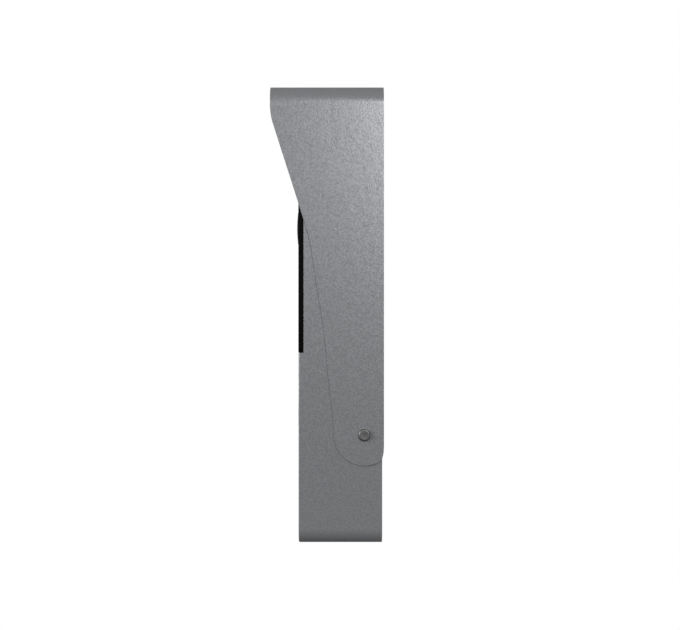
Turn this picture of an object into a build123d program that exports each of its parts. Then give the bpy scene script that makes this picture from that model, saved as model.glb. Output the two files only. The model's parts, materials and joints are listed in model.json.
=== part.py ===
from build123d import *
from math import asin, cos, degrees, radians, sin, sqrt
import os

# Video doorbell: a sealed metal body with a full-width window panel, a camera and a call button,
# held in a bent-sheet wall bracket whose roof and wings make a rain hood.
#
# Frame: the wall is the plane y = 0 and the front faces -Y. +Z is up and +X is to the right of someone
# at the wall looking out. The origin is the centre of the bracket's four wall-screw holes, on the wall.
# A "depth" is the distance from the wall, so depth d is the plane y = -d. All lengths are in millimetres.

# --- Driving dimensions -------------------------------------------------------------------------------

TOTAL_H = 184.0  # hood roof to body foot
BODY_W = 65.0
BODY_FRONT = 34.2  # depth of the lower metal face
HOOD_FRONT = 45.66  # depth of the hood's front edge
SHEET = 0.7  # bracket sheet
HOOD_R = 6.6  # outer bend between the roof and the wings
SIDE_GAP = 0.02  # between a wing and the body
ROOF_GAP = 0.7  # between the roof and the body
RUN = 0.1  # radial clearance of sliding pieces

TOP = TOTAL_H / 2
FOOT = -TOTAL_H / 2
BODY_TOP = TOP - SHEET - ROOF_GAP
BODY_H = BODY_TOP - FOOT
BODY_MID = (BODY_TOP + FOOT) / 2
BODY_R = HOOD_R - SHEET - SIDE_GAP
HALF_W = BODY_W / 2
WING_OUT = HALF_W + SIDE_GAP + SHEET
WING_IN = HALF_W + SIDE_GAP

# Housing walls
WALL = 2.5
FRONT_WALL = 2.0
INNER_X = HALF_W - WALL
INNER_TOP = BODY_TOP - WALL
INNER_FOOT = FOOT + WALL
INNER_R = 2.1
COVER_FRONT = 2.8  # depth of the rear cover's inner face
GASKET_FRONT = 3.3
COVER_W = 62.4
COVER_H = 179.9
COVER_R = 4.3

# Window panel
PANEL_FRONT = 34.3
PANEL_REAR = 32.3
PANEL_SEAT = 32.2  # depth of the housing face behind the panel
PANEL_FOOT = -15.1
SEAM = 0.15
UPPER_INNER = PANEL_SEAT - FRONT_WALL
LOWER_INNER = BODY_FRONT - FRONT_WALL
STEP_Z = PANEL_FOOT - SEAM - FRONT_WALL

STATUS_Z = PANEL_FOOT + 6.1
STATUS_PLACES = [(-8, STATUS_Z), (0, STATUS_Z), (8, STATUS_Z)]

# Camera
CAM_Z = 36.7
LENS_WINDOW_R = 6.2
LENS_WINDOW_PEAK = 35.9
LENS_SAGITTA = 0.48
BEZEL_NECK_R = 6.5
BEZEL_R = 7.6
BEZEL_FRONT = 35.45
BEZEL_REAR = 31.3
WINDOW_SEAT = 34.2  # rear face of the lens window
CAM_BOARD_REAR = 15.6
CAM_BOARD_FRONT = 16.6
CAM_BOARD_W = 36.0
CAM_BOARD_H = 45.0
CAM_POSTS = [(x, CAM_Z + dz) for x in (-15.0, 15.0) for dz in (-19.0, 19.0)]
RIBBON_Z = CAM_Z - 20.1
IR_WINDOW_W = 46.0
IR_WINDOW_H = 30.0
IR_BOARD = 1.0

BARREL_R = 6.0
HOLDER_R = 7.6
LED_RING_R = 12.2
LED_SIZE = 3.2

# Infrared-cut filter drive
FILTER_TRAVEL = 6.0
ROTOR_ARM = 8.0
ROTOR_Z = CAM_Z - 13.8
ROTOR_SWING = 2 * degrees(asin(FILTER_TRAVEL / 2 / ROTOR_ARM))
TAB_Z = CAM_Z - 5.9
CASE_FRONT = 20.2
CASE_PLATE = 19.3
SLIDER_REAR = 17.9
SLIDER_FRONT = 19.1
PANE = 5.0
ROTOR_R = 3.0
ROTOR_REAR = 16.8
ROTOR_STEP = 17.7  # front of the arm, rear of the magnet's upper part
PIN_R = 0.5
COIL_DEPTH = 17.95

# Main board
BOARD_REAR = 12.0
BOARD_FRONT = 13.6
BOARD_X = 22.5
BOARD_LOW = -14.0
BOARD_HIGH = 80.0
BOARD_POSTS = [(-19.5, -11.0), (19.5, -11.0), (-19.5, 77.0), (19.5, 77.0)]
PROCESSOR = (8.0, 0.0)
CHIP_H = 1.2
SINK_BASE = 1.2
CELL = (6.0, 66.0)
HOLDER_H = 4.2
TERMINAL_PITCH = 3.5
TERMINALS = [(TERMINAL_PITCH * (i - 4.5), 1.0) for i in range(10)]
TERMINAL_REAR = 3.6
TERMINAL_SCREW_REAR = 4.4

# Connection compartment and cable entry
ENTRY_X = 19.0
ENTRY_LOW = -4.0
ENTRY_HIGH = 32.0
ENTRY_MID = (ENTRY_LOW + ENTRY_HIGH) / 2
ENTRY_H = ENTRY_HIGH - ENTRY_LOW
ENTRY_WALL = 1.5
ENTRY_DEPTH = 11.6

# Wall screws and locking screws
WALL_X = 18.0
WALL_Z = 45.0
WALL_HOLE_R = 2.25
PLATE_FOOT = -54.0
LOCK_Z = -48.1
LOCK_DEPTH = 7.8
LOCK_SHANK_R = 1.25
LOCK_HEAD_R = 2.4
LOCK_HEAD_H = 1.4
LOCK_ROUND = 0.6  # rounding of the head's rim
TONGUE_R = 12.3
LOCK_BOSS_IN = 25.2
LOCK_TIP = 26.0

# Call button
BUTTON_Z = -42.0
CAP_R = 8.5
CAP_FRONT = 34.9
CAP_REAR = 32.6
DISH = 0.4  # depth of the dished front
DISH_R = 7.2
RING_IN = CAP_R + RUN
RING_OUT = 10.05
TUBE_IN = 10.1
TUBE_OUT = 11.1
STEM_R = 3.0
FLOOR_REAR = 26.0
FLOOR_FRONT = 27.5
SWITCH_FRONT = 22.3
RING_REAR = 31.0
RING_FRONT = 34.7
PIPE_REAR = 21.0
BUTTON_BEZEL_R = 13.0
NUT_REAR = 29.2
PLUNGER_R = 1.75
PLUNGER_REAR = 21.0
CLIP_GROOVE_R = 2.6
STEM_TIP = 23.53
PLUNGER_TIP = 23.5
BUTTON_BOARD_REAR = 18.6
BUTTON_BOARD_FRONT = 19.8
BUTTON_POSTS = [(-17.0, -34.0), (17.0, -34.0), (-17.0, -50.0), (17.0, -50.0)]
PIPE_R = 9.2  # circle on which the light ring's four pins stand

# Sound
SPEAKER_Z = -72.0
SPEAKER_R = 15.0
SPEAKER_SEAT = 30.9  # front of the speaker's flange
SPEAKER_FLANGE = 29.9
SPEAKER_BACK = 24.0  # where the frame meets the magnet
GRILLE_R = 11.0
SLOT_PITCH = 3.0
SLOT_W = 1.4
MIC_Z = -23.5
MIC_REAR = 28.7
SPEAKER_EARS = [(-19.0, SPEAKER_Z), (19.0, SPEAKER_Z)]

# Switches at the back
TAMPER_Z = 40.0
RESET_X = 14.0
RESET_Z = 28.0
RESET_CASE = 9.2
RESET_PIN_R = 1.0
TAMPER_CASE = 7.0
TAMPER_PIN_R = 1.5

# Screws and their posts
COVER_SCREWS = [(x, z) for x in (-27.2, 27.2) for z in (-85.0, -2.0, 84.0)]
BOSS_R = 3.25
PAN_HEAD_R = 1.9
PAN_HEAD_H = 1.4
PAN_SHANK_R = 1.0
POST_HOLE_R = 1.05
POST_CLEAR_R = 1.15  # screw holes through the boards
BOARD_POST_R = 2.75
CAM_POST_R = 2.25
BUTTON_POST_R = 2.5
EAR_POST_R = 3.0
COVER_HOLE_R = 1.25
LOCK_BOSS_R = 3.5

os.makedirs("parts", exist_ok=True)


def at(depth):
    """The plane at this depth in front of the wall: sketch x is +X and sketch y is +Z."""
    return Plane.XZ.offset(depth)


def axis_y(z):
    """The line along Y at this height in the middle of the object."""
    return Axis((0, 0, z), (0, 1, 0))


def keep(part, name):
    """Label a finished piece and write it."""
    part.label = name
    export_step(part, f"parts/{name}.step")


# --- Rain hood and wall bracket -----------------------------------------------------------------------

SLANT_TOP = 80.2  # height where the hood's front edge would meet its slant
SLANT_END = (-31.0, 34.4)
SLANT_R = 25.0  # bend between the straight front edge and the slant
SLANT_RUN = 0.3225  # how far the slant comes back towards the wall per unit of drop
HEEL = radians(27)  # where the tongue's round end turns up into the rear edge

with BuildPart() as hood_bracket:
    with BuildSketch(Plane.XZ):
        with BuildLine():
            Polyline((-WING_OUT, FOOT), (-WING_OUT, TOP), (WING_OUT, TOP), (WING_OUT, FOOT), close=True)
        make_face()
        fillet(vertices().group_by(Axis.Y)[-1], radius=HOOD_R)
    extrude(amount=HOOD_FRONT)
    with BuildSketch(Plane.XZ):
        with BuildLine():
            Polyline(
                (-WING_IN, FOOT - 1),
                (-WING_IN, TOP - SHEET),
                (WING_IN, TOP - SHEET),
                (WING_IN, FOOT - 1),
                close=True,
            )
        make_face()
        fillet(vertices().group_by(Axis.Y)[-1], radius=HOOD_R - SHEET)
    extrude(amount=HOOD_FRONT, mode=Mode.SUBTRACT)
    # Side outline: straight front, slant, sweeping edge and a tongue round the locking screw.
    with BuildSketch(Plane.YZ):
        with BuildLine():
            Polyline(SLANT_END, (-HOOD_FRONT, SLANT_TOP), (-HOOD_FRONT, TOP), (0, TOP), (0, PLATE_FOOT + 3))
            Spline(
                SLANT_END,
                (-27.2, 13.9),
                (-24.1, -6.1),
                (-21.75, -30.1),
                (-LOCK_DEPTH - TONGUE_R, LOCK_Z),
                tangents=[(SLANT_RUN, -1), (0, -1)],
            )
            RadiusArc((-LOCK_DEPTH - TONGUE_R, LOCK_Z), (-LOCK_DEPTH, LOCK_Z - TONGUE_R), -TONGUE_R)
            heel = (-LOCK_DEPTH + TONGUE_R * sin(HEEL), LOCK_Z - TONGUE_R * cos(HEEL))
            RadiusArc((-LOCK_DEPTH, LOCK_Z - TONGUE_R), heel, -TONGUE_R)
            Spline(heel, (0, PLATE_FOOT + 3), tangents=[(cos(HEEL), sin(HEEL)), (0, 1)])
        make_face()
        slant_corner = vertices().sort_by_distance((-HOOD_FRONT, SLANT_TOP, 0))[0]
        fillet(slant_corner, radius=SLANT_R)
    extrude(amount=WING_OUT + 1, both=True, mode=Mode.INTERSECT)
    # Back plate with the wall-screw holes, the cable opening and the tamper hole.
    with BuildSketch(Plane.XZ):
        with Locations((0, (TOP - SHEET + PLATE_FOOT) / 2)):
            Rectangle(2 * WING_IN, TOP - SHEET - PLATE_FOOT)
        fillet(vertices().group_by(Axis.Y)[-1], radius=HOOD_R - SHEET)
        with GridLocations(2 * WALL_X, 2 * WALL_Z, 2, 2):
            Circle(WALL_HOLE_R, mode=Mode.SUBTRACT)
        with Locations((0, ENTRY_MID)):
            RectangleRounded(2 * ENTRY_X, ENTRY_H, 3, mode=Mode.SUBTRACT)
        with Locations((0, TAMPER_Z)):
            Circle(2.5, mode=Mode.SUBTRACT)
    extrude(amount=SHEET)
    with BuildSketch(Plane.YZ):
        with Locations((-LOCK_DEPTH, LOCK_Z)):
            Circle(LOCK_SHANK_R + 0.1)
    extrude(amount=WING_OUT + 1, both=True, mode=Mode.SUBTRACT)
keep(hood_bracket.part, "hood_bracket")

# --- Body housing -------------------------------------------------------------------------------------

with BuildPart() as front_housing:
    with BuildSketch(at(SHEET)):
        with Locations((0, BODY_MID)):
            RectangleRounded(BODY_W, BODY_H, BODY_R)
    extrude(amount=BODY_FRONT - SHEET)
    fillet(faces().sort_by(Axis.Y)[0].edges(), radius=0.5)
    # Seat for the window panel.
    with BuildSketch(at(PANEL_SEAT)):
        with Locations((0, (TOP + PANEL_FOOT - SEAM) / 2)):
            Rectangle(BODY_W + 2, TOP - PANEL_FOOT + SEAM)
    extrude(amount=BODY_FRONT, mode=Mode.SUBTRACT)
    # Inner space, deeper behind the lower face than behind the panel.
    with BuildSketch(at(SHEET)):
        with Locations((0, (INNER_TOP + STEP_Z) / 2)):
            RectangleRounded(2 * INNER_X, INNER_TOP - STEP_Z, INNER_R)
        with Locations((0, STEP_Z)):
            Rectangle(2 * INNER_X, 4 * INNER_R)
    extrude(amount=UPPER_INNER - SHEET, mode=Mode.SUBTRACT)
    with BuildSketch(at(SHEET)):
        with Locations((0, (STEP_Z + INNER_FOOT) / 2)):
            RectangleRounded(2 * INNER_X, STEP_Z - INNER_FOOT, INNER_R)
    extrude(amount=LOWER_INNER - SHEET, mode=Mode.SUBTRACT)
    # Rebate for the rear cover and its gasket.
    with BuildSketch(at(SHEET)):
        with Locations((0, BODY_MID)):
            RectangleRounded(COVER_W + 0.2, COVER_H + 0.2, COVER_R + 0.1)
    extrude(amount=GASKET_FRONT - SHEET, mode=Mode.SUBTRACT)
    # Groove for the panel gasket.
    with BuildSketch(at(PANEL_SEAT - 0.5)):
        with Locations((0, (BODY_TOP + PANEL_FOOT) / 2)):
            RectangleRounded(BODY_W - 5, BODY_TOP - PANEL_FOOT - 5, 2.5)
            RectangleRounded(BODY_W - 10, BODY_TOP - PANEL_FOOT - 10, 1, mode=Mode.SUBTRACT)
    extrude(amount=1, mode=Mode.SUBTRACT)
    # Bosses for the rear cover and posts for the boards.
    with BuildSketch(at(GASKET_FRONT)):
        with Locations(*[p for p in COVER_SCREWS if p[1] > STEP_Z]):
            Circle(BOSS_R)
    extrude(amount=UPPER_INNER - GASKET_FRONT)
    with BuildSketch(at(GASKET_FRONT)):
        with Locations(*[p for p in COVER_SCREWS if p[1] < STEP_Z]):
            Circle(BOSS_R)
    extrude(amount=LOWER_INNER - GASKET_FRONT)
    with BuildSketch(at(BOARD_FRONT)):
        with Locations(*BOARD_POSTS):
            Circle(BOARD_POST_R)
    extrude(amount=UPPER_INNER - BOARD_FRONT)
    with BuildSketch(at(CAM_BOARD_FRONT)):
        with Locations(*CAM_POSTS):
            Circle(CAM_POST_R)
    extrude(amount=UPPER_INNER - CAM_BOARD_FRONT)
    with BuildSketch(at(BUTTON_BOARD_FRONT)):
        with Locations(*BUTTON_POSTS):
            Circle(BUTTON_POST_R)
    extrude(amount=LOWER_INNER - BUTTON_BOARD_FRONT)
    with BuildSketch(at(SPEAKER_SEAT)):
        with Locations(*SPEAKER_EARS):
            Circle(EAR_POST_R)
    extrude(amount=LOWER_INNER - SPEAKER_SEAT)
    # Screw holes in the bosses and posts.
    with BuildSketch(at(GASKET_FRONT)):
        with Locations(*COVER_SCREWS):
            Circle(COVER_HOLE_R)
    extrude(amount=9, mode=Mode.SUBTRACT)
    with BuildSketch(at(BOARD_FRONT)):
        with Locations(*BOARD_POSTS):
            Circle(POST_HOLE_R)
    extrude(amount=7, mode=Mode.SUBTRACT)
    with BuildSketch(at(CAM_BOARD_FRONT)):
        with Locations(*CAM_POSTS):
            Circle(POST_HOLE_R)
    extrude(amount=6, mode=Mode.SUBTRACT)
    with BuildSketch(at(BUTTON_BOARD_FRONT)):
        with Locations(*BUTTON_POSTS):
            Circle(POST_HOLE_R)
    extrude(amount=7, mode=Mode.SUBTRACT)
    with BuildSketch(at(SPEAKER_SEAT)):
        with Locations(*SPEAKER_EARS):
            Circle(POST_HOLE_R)
    extrude(amount=2.3, mode=Mode.SUBTRACT)
    # Bosses for the side locking screws.
    for side in (-1, 1):
        with BuildSketch(Plane.YZ.offset(side * LOCK_BOSS_IN)):
            with Locations((-LOCK_DEPTH, LOCK_Z)):
                Circle(LOCK_BOSS_R)
        extrude(amount=side * (INNER_X - LOCK_BOSS_IN))
        with BuildSketch(Plane.YZ.offset(side * (LOCK_BOSS_IN + 0.6))):
            with Locations((-LOCK_DEPTH, LOCK_Z)):
                Circle(LOCK_SHANK_R + 0.05)
        extrude(amount=side * 10, mode=Mode.SUBTRACT)
    # Openings in the front wall: camera and infrared window, status slots, microphone, button, grille.
    with BuildSketch(at(UPPER_INNER - 1)):
        with Locations((0, CAM_Z)):
            RectangleRounded(IR_WINDOW_W, IR_WINDOW_H, 3)
        with Locations(*STATUS_PLACES):
            Rectangle(4.2, 1.8)
    extrude(amount=5, mode=Mode.SUBTRACT)
    with BuildSketch(at(LOWER_INNER - 1)):
        with Locations((0, MIC_Z)):
            Circle(0.7)
        with Locations((0, BUTTON_Z)):
            Circle(TUBE_OUT + 0.1)
        for row in range(-3, 4):
            drop = row * SLOT_PITCH
            with Locations((0, SPEAKER_Z + drop)):
                SlotOverall(2 * sqrt(GRILLE_R**2 - drop**2), SLOT_W)
    extrude(amount=5, mode=Mode.SUBTRACT)
    # Drain slots through the foot.
    with BuildSketch(Plane.XY.offset(FOOT - 1)):
        with Locations((-20, -29.5), (20, -29.5)):
            SlotOverall(8, 2)
    extrude(amount=WALL + 2, mode=Mode.SUBTRACT)
keep(front_housing.part, "front_housing")

# --- Rear cover, gasket and screws --------------------------------------------------------------------

with BuildPart() as rear_cover:
    with BuildSketch(at(SHEET)):
        with Locations((0, BODY_MID)):
            RectangleRounded(COVER_W, COVER_H, COVER_R)
    extrude(amount=COVER_FRONT - SHEET)
    # Cups over the wall-screw heads and the tube of the connection compartment.
    with BuildSketch(at(SHEET)):
        with GridLocations(2 * WALL_X, 2 * WALL_Z, 2, 2):
            Circle(6.7)
    extrude(amount=4.7)
    with BuildSketch(at(SHEET)):
        with Locations((0, ENTRY_MID)):
            RectangleRounded(2 * (ENTRY_X + ENTRY_WALL), ENTRY_H + 2 * ENTRY_WALL, 4)
    extrude(amount=ENTRY_DEPTH - SHEET)
    with BuildSketch(at(SHEET)):
        with GridLocations(2 * WALL_X, 2 * WALL_Z, 2, 2):
            Circle(5.5)
    extrude(amount=3.5, mode=Mode.SUBTRACT)
    with BuildSketch(at(SHEET)):
        with Locations((0, ENTRY_MID)):
            RectangleRounded(2 * ENTRY_X, ENTRY_H, 3)
        with Locations((0, TAMPER_Z)):
            Circle(1.9)
    extrude(amount=ENTRY_DEPTH, mode=Mode.SUBTRACT)
    with Locations(*[Location((x, -SHEET, z), (-90, 0, 0)) for x, z in COVER_SCREWS]):
        CounterSinkHole(radius=1.35, counter_sink_radius=2.45, depth=4)
keep(rear_cover.part, "rear_cover")

with BuildPart() as rear_cover_gasket:
    with BuildSketch(at(COVER_FRONT)):
        with Locations((0, BODY_MID)):
            RectangleRounded(COVER_W, COVER_H, COVER_R)
            RectangleRounded(2 * INNER_X, BODY_H - 2 * WALL, INNER_R, mode=Mode.SUBTRACT)
        with Locations(*COVER_SCREWS):
            Circle(BOSS_R)
        with Locations(*COVER_SCREWS):
            Circle(1.4, mode=Mode.SUBTRACT)
    extrude(amount=GASKET_FRONT - COVER_FRONT)
keep(rear_cover_gasket.part, "rear_cover_gasket")

with BuildPart() as rear_cover_screws:
    for x, z in COVER_SCREWS:
        with BuildSketch(Plane.XY.offset(z)):
            with BuildLine():
                Polyline(
                    (x, -SHEET),
                    (x + 2.35, -SHEET),
                    (x + 1.2, -SHEET - 1.15),
                    (x + 1.2, -10.5),
                    (x, -11.3),
                    close=True,
                )
            make_face()
        revolve(axis=Axis((x, 0, z), (0, 1, 0)))
        with BuildSketch(at(SHEET)):
            with Locations((x, z)):
                Rectangle(2.6, 0.5)
                Rectangle(0.5, 2.6)
        extrude(amount=0.7, mode=Mode.SUBTRACT)
keep(rear_cover_screws.part, "rear_cover_screws")

# --- Screws -------------------------------------------------------------------------------------------

# Pan-head screws: seat depth, shank length and places.
PAN_SCREWS = [
    (BOARD_REAR, 7.5, BOARD_POSTS),
    (CAM_BOARD_REAR, 6.0, CAM_POSTS),
    (BUTTON_BOARD_REAR, 7.0, BUTTON_POSTS),
    (SPEAKER_FLANGE, 3.0, SPEAKER_EARS),
]

with BuildPart() as board_screws:
    for seat, length, places in PAN_SCREWS:
        with BuildSketch(at(seat)):
            with Locations(*places):
                Circle(PAN_HEAD_R)
        extrude(amount=-PAN_HEAD_H)
        with BuildSketch(at(seat)):
            with Locations(*places):
                Circle(PAN_SHANK_R)
        extrude(amount=length)
        with BuildSketch(at(seat - PAN_HEAD_H)):
            with Locations(*places):
                Rectangle(2.2, 0.45)
                Rectangle(0.45, 2.2)
        extrude(amount=0.8, mode=Mode.SUBTRACT)
keep(board_screws.part, "board_screws")

with BuildPart() as side_screws:
    for side in (-1, 1):
        with BuildSketch(Plane.XY.offset(LOCK_Z)):
            with BuildLine():
                seat = side * WING_OUT
                crown = side * (WING_OUT + LOCK_HEAD_H)
                Line((side * LOCK_TIP, -LOCK_DEPTH), (side * LOCK_TIP, -LOCK_DEPTH + LOCK_SHANK_R))
                Line((side * LOCK_TIP, -LOCK_DEPTH + LOCK_SHANK_R), (seat, -LOCK_DEPTH + LOCK_SHANK_R))
                shoulder = side * (WING_OUT + LOCK_HEAD_H - LOCK_ROUND)
                Line((seat, -LOCK_DEPTH + LOCK_SHANK_R), (seat, -LOCK_DEPTH + LOCK_HEAD_R))
                Line((seat, -LOCK_DEPTH + LOCK_HEAD_R), (shoulder, -LOCK_DEPTH + LOCK_HEAD_R))
                RadiusArc(
                    (shoulder, -LOCK_DEPTH + LOCK_HEAD_R),
                    (crown, -LOCK_DEPTH + LOCK_HEAD_R - LOCK_ROUND),
                    side * LOCK_ROUND,
                )
                Line((crown, -LOCK_DEPTH + LOCK_HEAD_R - LOCK_ROUND), (crown, -LOCK_DEPTH))
                Line((crown, -LOCK_DEPTH), (side * LOCK_TIP, -LOCK_DEPTH))
            make_face()
        revolve(axis=Axis((0, -LOCK_DEPTH, LOCK_Z), (1, 0, 0)))
        with BuildSketch(Plane.YZ.offset(crown)):
            with Locations((-LOCK_DEPTH, LOCK_Z)):
                RegularPolygon(radius=0.87, side_count=6)
        extrude(amount=-side * 1.0, mode=Mode.SUBTRACT)
keep(side_screws.part, "side_screws")

# --- Window panel -------------------------------------------------------------------------------------

with BuildPart() as window_panel:
    with BuildSketch(at(PANEL_REAR)):
        with Locations((0, (BODY_TOP + PANEL_FOOT) / 2)):
            Rectangle(BODY_W, BODY_TOP - PANEL_FOOT)
        fillet(vertices().group_by(Axis.Y)[-1], radius=BODY_R)
        with Locations((0, CAM_Z)):
            Circle(BEZEL_NECK_R + 0.05, mode=Mode.SUBTRACT)
    extrude(amount=PANEL_FRONT - PANEL_REAR)
    chamfer(faces().sort_by(Axis.Y)[0].outer_wire().edges(), length=0.25)
keep(window_panel.part, "window_panel")

with BuildPart() as panel_gasket:
    with BuildSketch(at(PANEL_SEAT - 0.5)):
        with Locations((0, (BODY_TOP + PANEL_FOOT) / 2)):
            RectangleRounded(BODY_W - 5.4, BODY_TOP - PANEL_FOOT - 5.4, 2.3)
            RectangleRounded(BODY_W - 9.6, BODY_TOP - PANEL_FOOT - 9.6, 1.2, mode=Mode.SUBTRACT)
    extrude(amount=PANEL_REAR - PANEL_SEAT + 0.5)
keep(panel_gasket.part, "panel_gasket")

# --- Camera -------------------------------------------------------------------------------------------

with BuildPart() as lens_bezel:
    with BuildSketch(Plane.XY.offset(CAM_Z)):
        with BuildLine():
            Polyline(
                (BEZEL_NECK_R - 1.2, -BEZEL_REAR),
                (BEZEL_NECK_R, -BEZEL_REAR),
                (BEZEL_NECK_R, -PANEL_FRONT),
                (BEZEL_R, -PANEL_FRONT),
                (BEZEL_R - 0.3, -BEZEL_FRONT + 0.55),
                (BEZEL_R - 0.85, -BEZEL_FRONT),
                (LENS_WINDOW_R + 0.05, -BEZEL_FRONT),
                (LENS_WINDOW_R + 0.05, -WINDOW_SEAT),
                (BEZEL_NECK_R - 1.2, -WINDOW_SEAT),
                close=True,
            )
        make_face()
    revolve(axis=axis_y(CAM_Z))
keep(lens_bezel.part, "lens_bezel")

with BuildPart() as lens_window:
    with BuildSketch(Plane.XY.offset(CAM_Z)):
        with BuildLine():
            rim = -LENS_WINDOW_PEAK + LENS_SAGITTA
            Polyline(
                (0, -LENS_WINDOW_PEAK),
                (0, -WINDOW_SEAT),
                (LENS_WINDOW_R, -WINDOW_SEAT),
                (LENS_WINDOW_R, rim),
            )
            dome_r = (LENS_WINDOW_R**2 + LENS_SAGITTA**2) / (2 * LENS_SAGITTA)
            RadiusArc((0, -LENS_WINDOW_PEAK), (LENS_WINDOW_R, rim), -dome_r)
        make_face()
    revolve(axis=axis_y(CAM_Z))
keep(lens_window.part, "lens_window")

with BuildPart() as lens_barrel:
    with BuildSketch(Plane.XY.offset(CAM_Z)):
        with BuildLine():
            Polyline(
                (2.6, -20.6),
                (BARREL_R, -20.6),
                (BARREL_R, -28.0),
                (BARREL_R + 0.8, -28.0),
                (BARREL_R + 0.8, -31.0),
                (4.9, -31.0),
                (4.7, -30.6),
                (4.7, -28.4),
                (3.4, -28.4),
                close=True,
            )
        make_face()
    revolve(axis=axis_y(CAM_Z))
keep(lens_barrel.part, "lens_barrel")

with BuildPart() as lens_front_element:
    with BuildSketch(Plane.XY.offset(CAM_Z)):
        with BuildLine():
            Polyline((0, -30.7), (0, -28.4), (4.65, -28.4), (4.65, -29.6))
            RadiusArc((0, -30.7), (4.65, -29.6), -10.4)
        make_face()
    revolve(axis=axis_y(CAM_Z))
keep(lens_front_element.part, "lens_front_element")

with BuildPart() as lens_holder:
    with BuildSketch(at(CASE_FRONT)):
        with Locations((0, CAM_Z)):
            RectangleRounded(20, 12.4, 2)
            Circle(HOLDER_R)
    extrude(amount=1.5)
    with BuildSketch(at(CASE_FRONT)):
        with Locations((0, CAM_Z)):
            Circle(HOLDER_R)
    extrude(amount=7.3)
    with BuildSketch(at(CASE_FRONT)):
        with Locations((0, CAM_Z)):
            Circle(BARREL_R + 0.05)
    extrude(amount=8, mode=Mode.SUBTRACT)
keep(lens_holder.part, "lens_holder")

with BuildPart() as filter_case:
    with BuildSketch(at(CAM_BOARD_FRONT)):
        with Locations((0, CAM_Z - 6.2)):
            RectangleRounded(23, 25.2, 1.5)
    extrude(amount=CASE_FRONT - CAM_BOARD_FRONT)
    with BuildSketch(at(CAM_BOARD_FRONT)):
        with Locations((0, CAM_Z)):
            Rectangle(19.4, 8.0)
        with Locations((0, CAM_Z - 11)):
            Rectangle(21, 14.2)
    extrude(amount=CASE_PLATE - CAM_BOARD_FRONT, mode=Mode.SUBTRACT)
    with BuildSketch(at(CASE_PLATE)):
        with Locations((0, CAM_Z)):
            Circle(2.8)
    extrude(amount=2, mode=Mode.SUBTRACT)
    with BuildSketch(at(CAM_BOARD_FRONT + 0.05)):
        with Locations((0, ROTOR_Z)):
            Circle(PIN_R)
    extrude(amount=CASE_PLATE - CAM_BOARD_FRONT)
keep(filter_case.part, "filter_case")

with BuildPart() as filter_slider:
    with BuildSketch(at(SLIDER_REAR)):
        with Locations((FILTER_TRAVEL / 2, CAM_Z)):
            Rectangle(12.8, 7.6)
        with Locations((FILTER_TRAVEL / 2, TAB_Z)):
            Rectangle(4.6, 4.8)
        with Locations((0, CAM_Z), (FILTER_TRAVEL, CAM_Z)):
            Rectangle(PANE, PANE, mode=Mode.SUBTRACT)
        with Locations((FILTER_TRAVEL / 2, TAB_Z - 0.2)):
            SlotOverall(2.8, 2 * PIN_R + 0.24, rotation=90, mode=Mode.SUBTRACT)
    extrude(amount=SLIDER_FRONT - SLIDER_REAR)
keep(filter_slider.part, "filter_slider")

with BuildPart() as filter_panes:
    with BuildSketch(at(SLIDER_REAR + 0.3)):
        with Locations((0, CAM_Z), (FILTER_TRAVEL, CAM_Z)):
            Rectangle(PANE, PANE)
    extrude(amount=0.6)
keep(filter_panes.part, "filter_panes")

with BuildPart() as filter_rotor:
    swing = radians(ROTOR_SWING / 2)
    pin_x = ROTOR_ARM * sin(swing)
    pin_z = ROTOR_Z + ROTOR_ARM * cos(swing)
    with BuildSketch(at(ROTOR_REAR)):
        with Locations((0, ROTOR_Z)):
            Circle(ROTOR_R)
        with Locations((pin_x / 2, (ROTOR_Z + pin_z) / 2)):
            SlotOverall(ROTOR_ARM + 2, 2, rotation=90 - ROTOR_SWING / 2)
    extrude(amount=ROTOR_STEP - ROTOR_REAR)
    with BuildSketch(at(ROTOR_STEP)):
        with Locations((0, ROTOR_Z)):
            Circle(ROTOR_R)
    extrude(amount=1.1)
    with BuildSketch(at(ROTOR_STEP)):
        with Locations((pin_x, pin_z)):
            Circle(PIN_R)
    extrude(amount=SLIDER_FRONT - ROTOR_STEP)
    with BuildSketch(at(ROTOR_REAR - 1)):
        with Locations((0, ROTOR_Z)):
            Circle(PIN_R + 0.05)
    extrude(amount=4, mode=Mode.SUBTRACT)
keep(filter_rotor.part, "filter_rotor")

with BuildPart() as filter_coil:
    for side in (-1, 1):
        with BuildSketch(Plane.YZ.offset(side * 4.6)):
            with Locations((-COIL_DEPTH, ROTOR_Z)):
                Circle(1.3)
        extrude(amount=side * 5.6)
        with BuildSketch(Plane.YZ.offset(side * 3.5)):
            with Locations((-COIL_DEPTH, ROTOR_Z)):
                Circle(0.6)
        extrude(amount=side * 6.9)
keep(filter_coil.part, "filter_coil")

with BuildPart() as image_sensor:
    with BuildSketch(at(CAM_BOARD_FRONT)):
        with Locations((0, CAM_Z)):
            Rectangle(8, 6.4)
    extrude(amount=1)
keep(image_sensor.part, "image_sensor")

with BuildPart() as camera_board:
    with BuildSketch(at(CAM_BOARD_REAR)):
        with Locations((0, CAM_Z)):
            RectangleRounded(CAM_BOARD_W, CAM_BOARD_H, 2)
        with Locations(*CAM_POSTS):
            Circle(POST_CLEAR_R, mode=Mode.SUBTRACT)
    extrude(amount=CAM_BOARD_FRONT - CAM_BOARD_REAR)
    with BuildSketch(at(CAM_BOARD_REAR)):
        with Locations((-10, CAM_Z + 5), (6, CAM_Z + 9)):
            Rectangle(5, 4)
        with Locations((8, CAM_Z - 5)):
            Rectangle(6, 6)
    extrude(amount=-0.9)
keep(camera_board.part, "camera_board")

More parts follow.
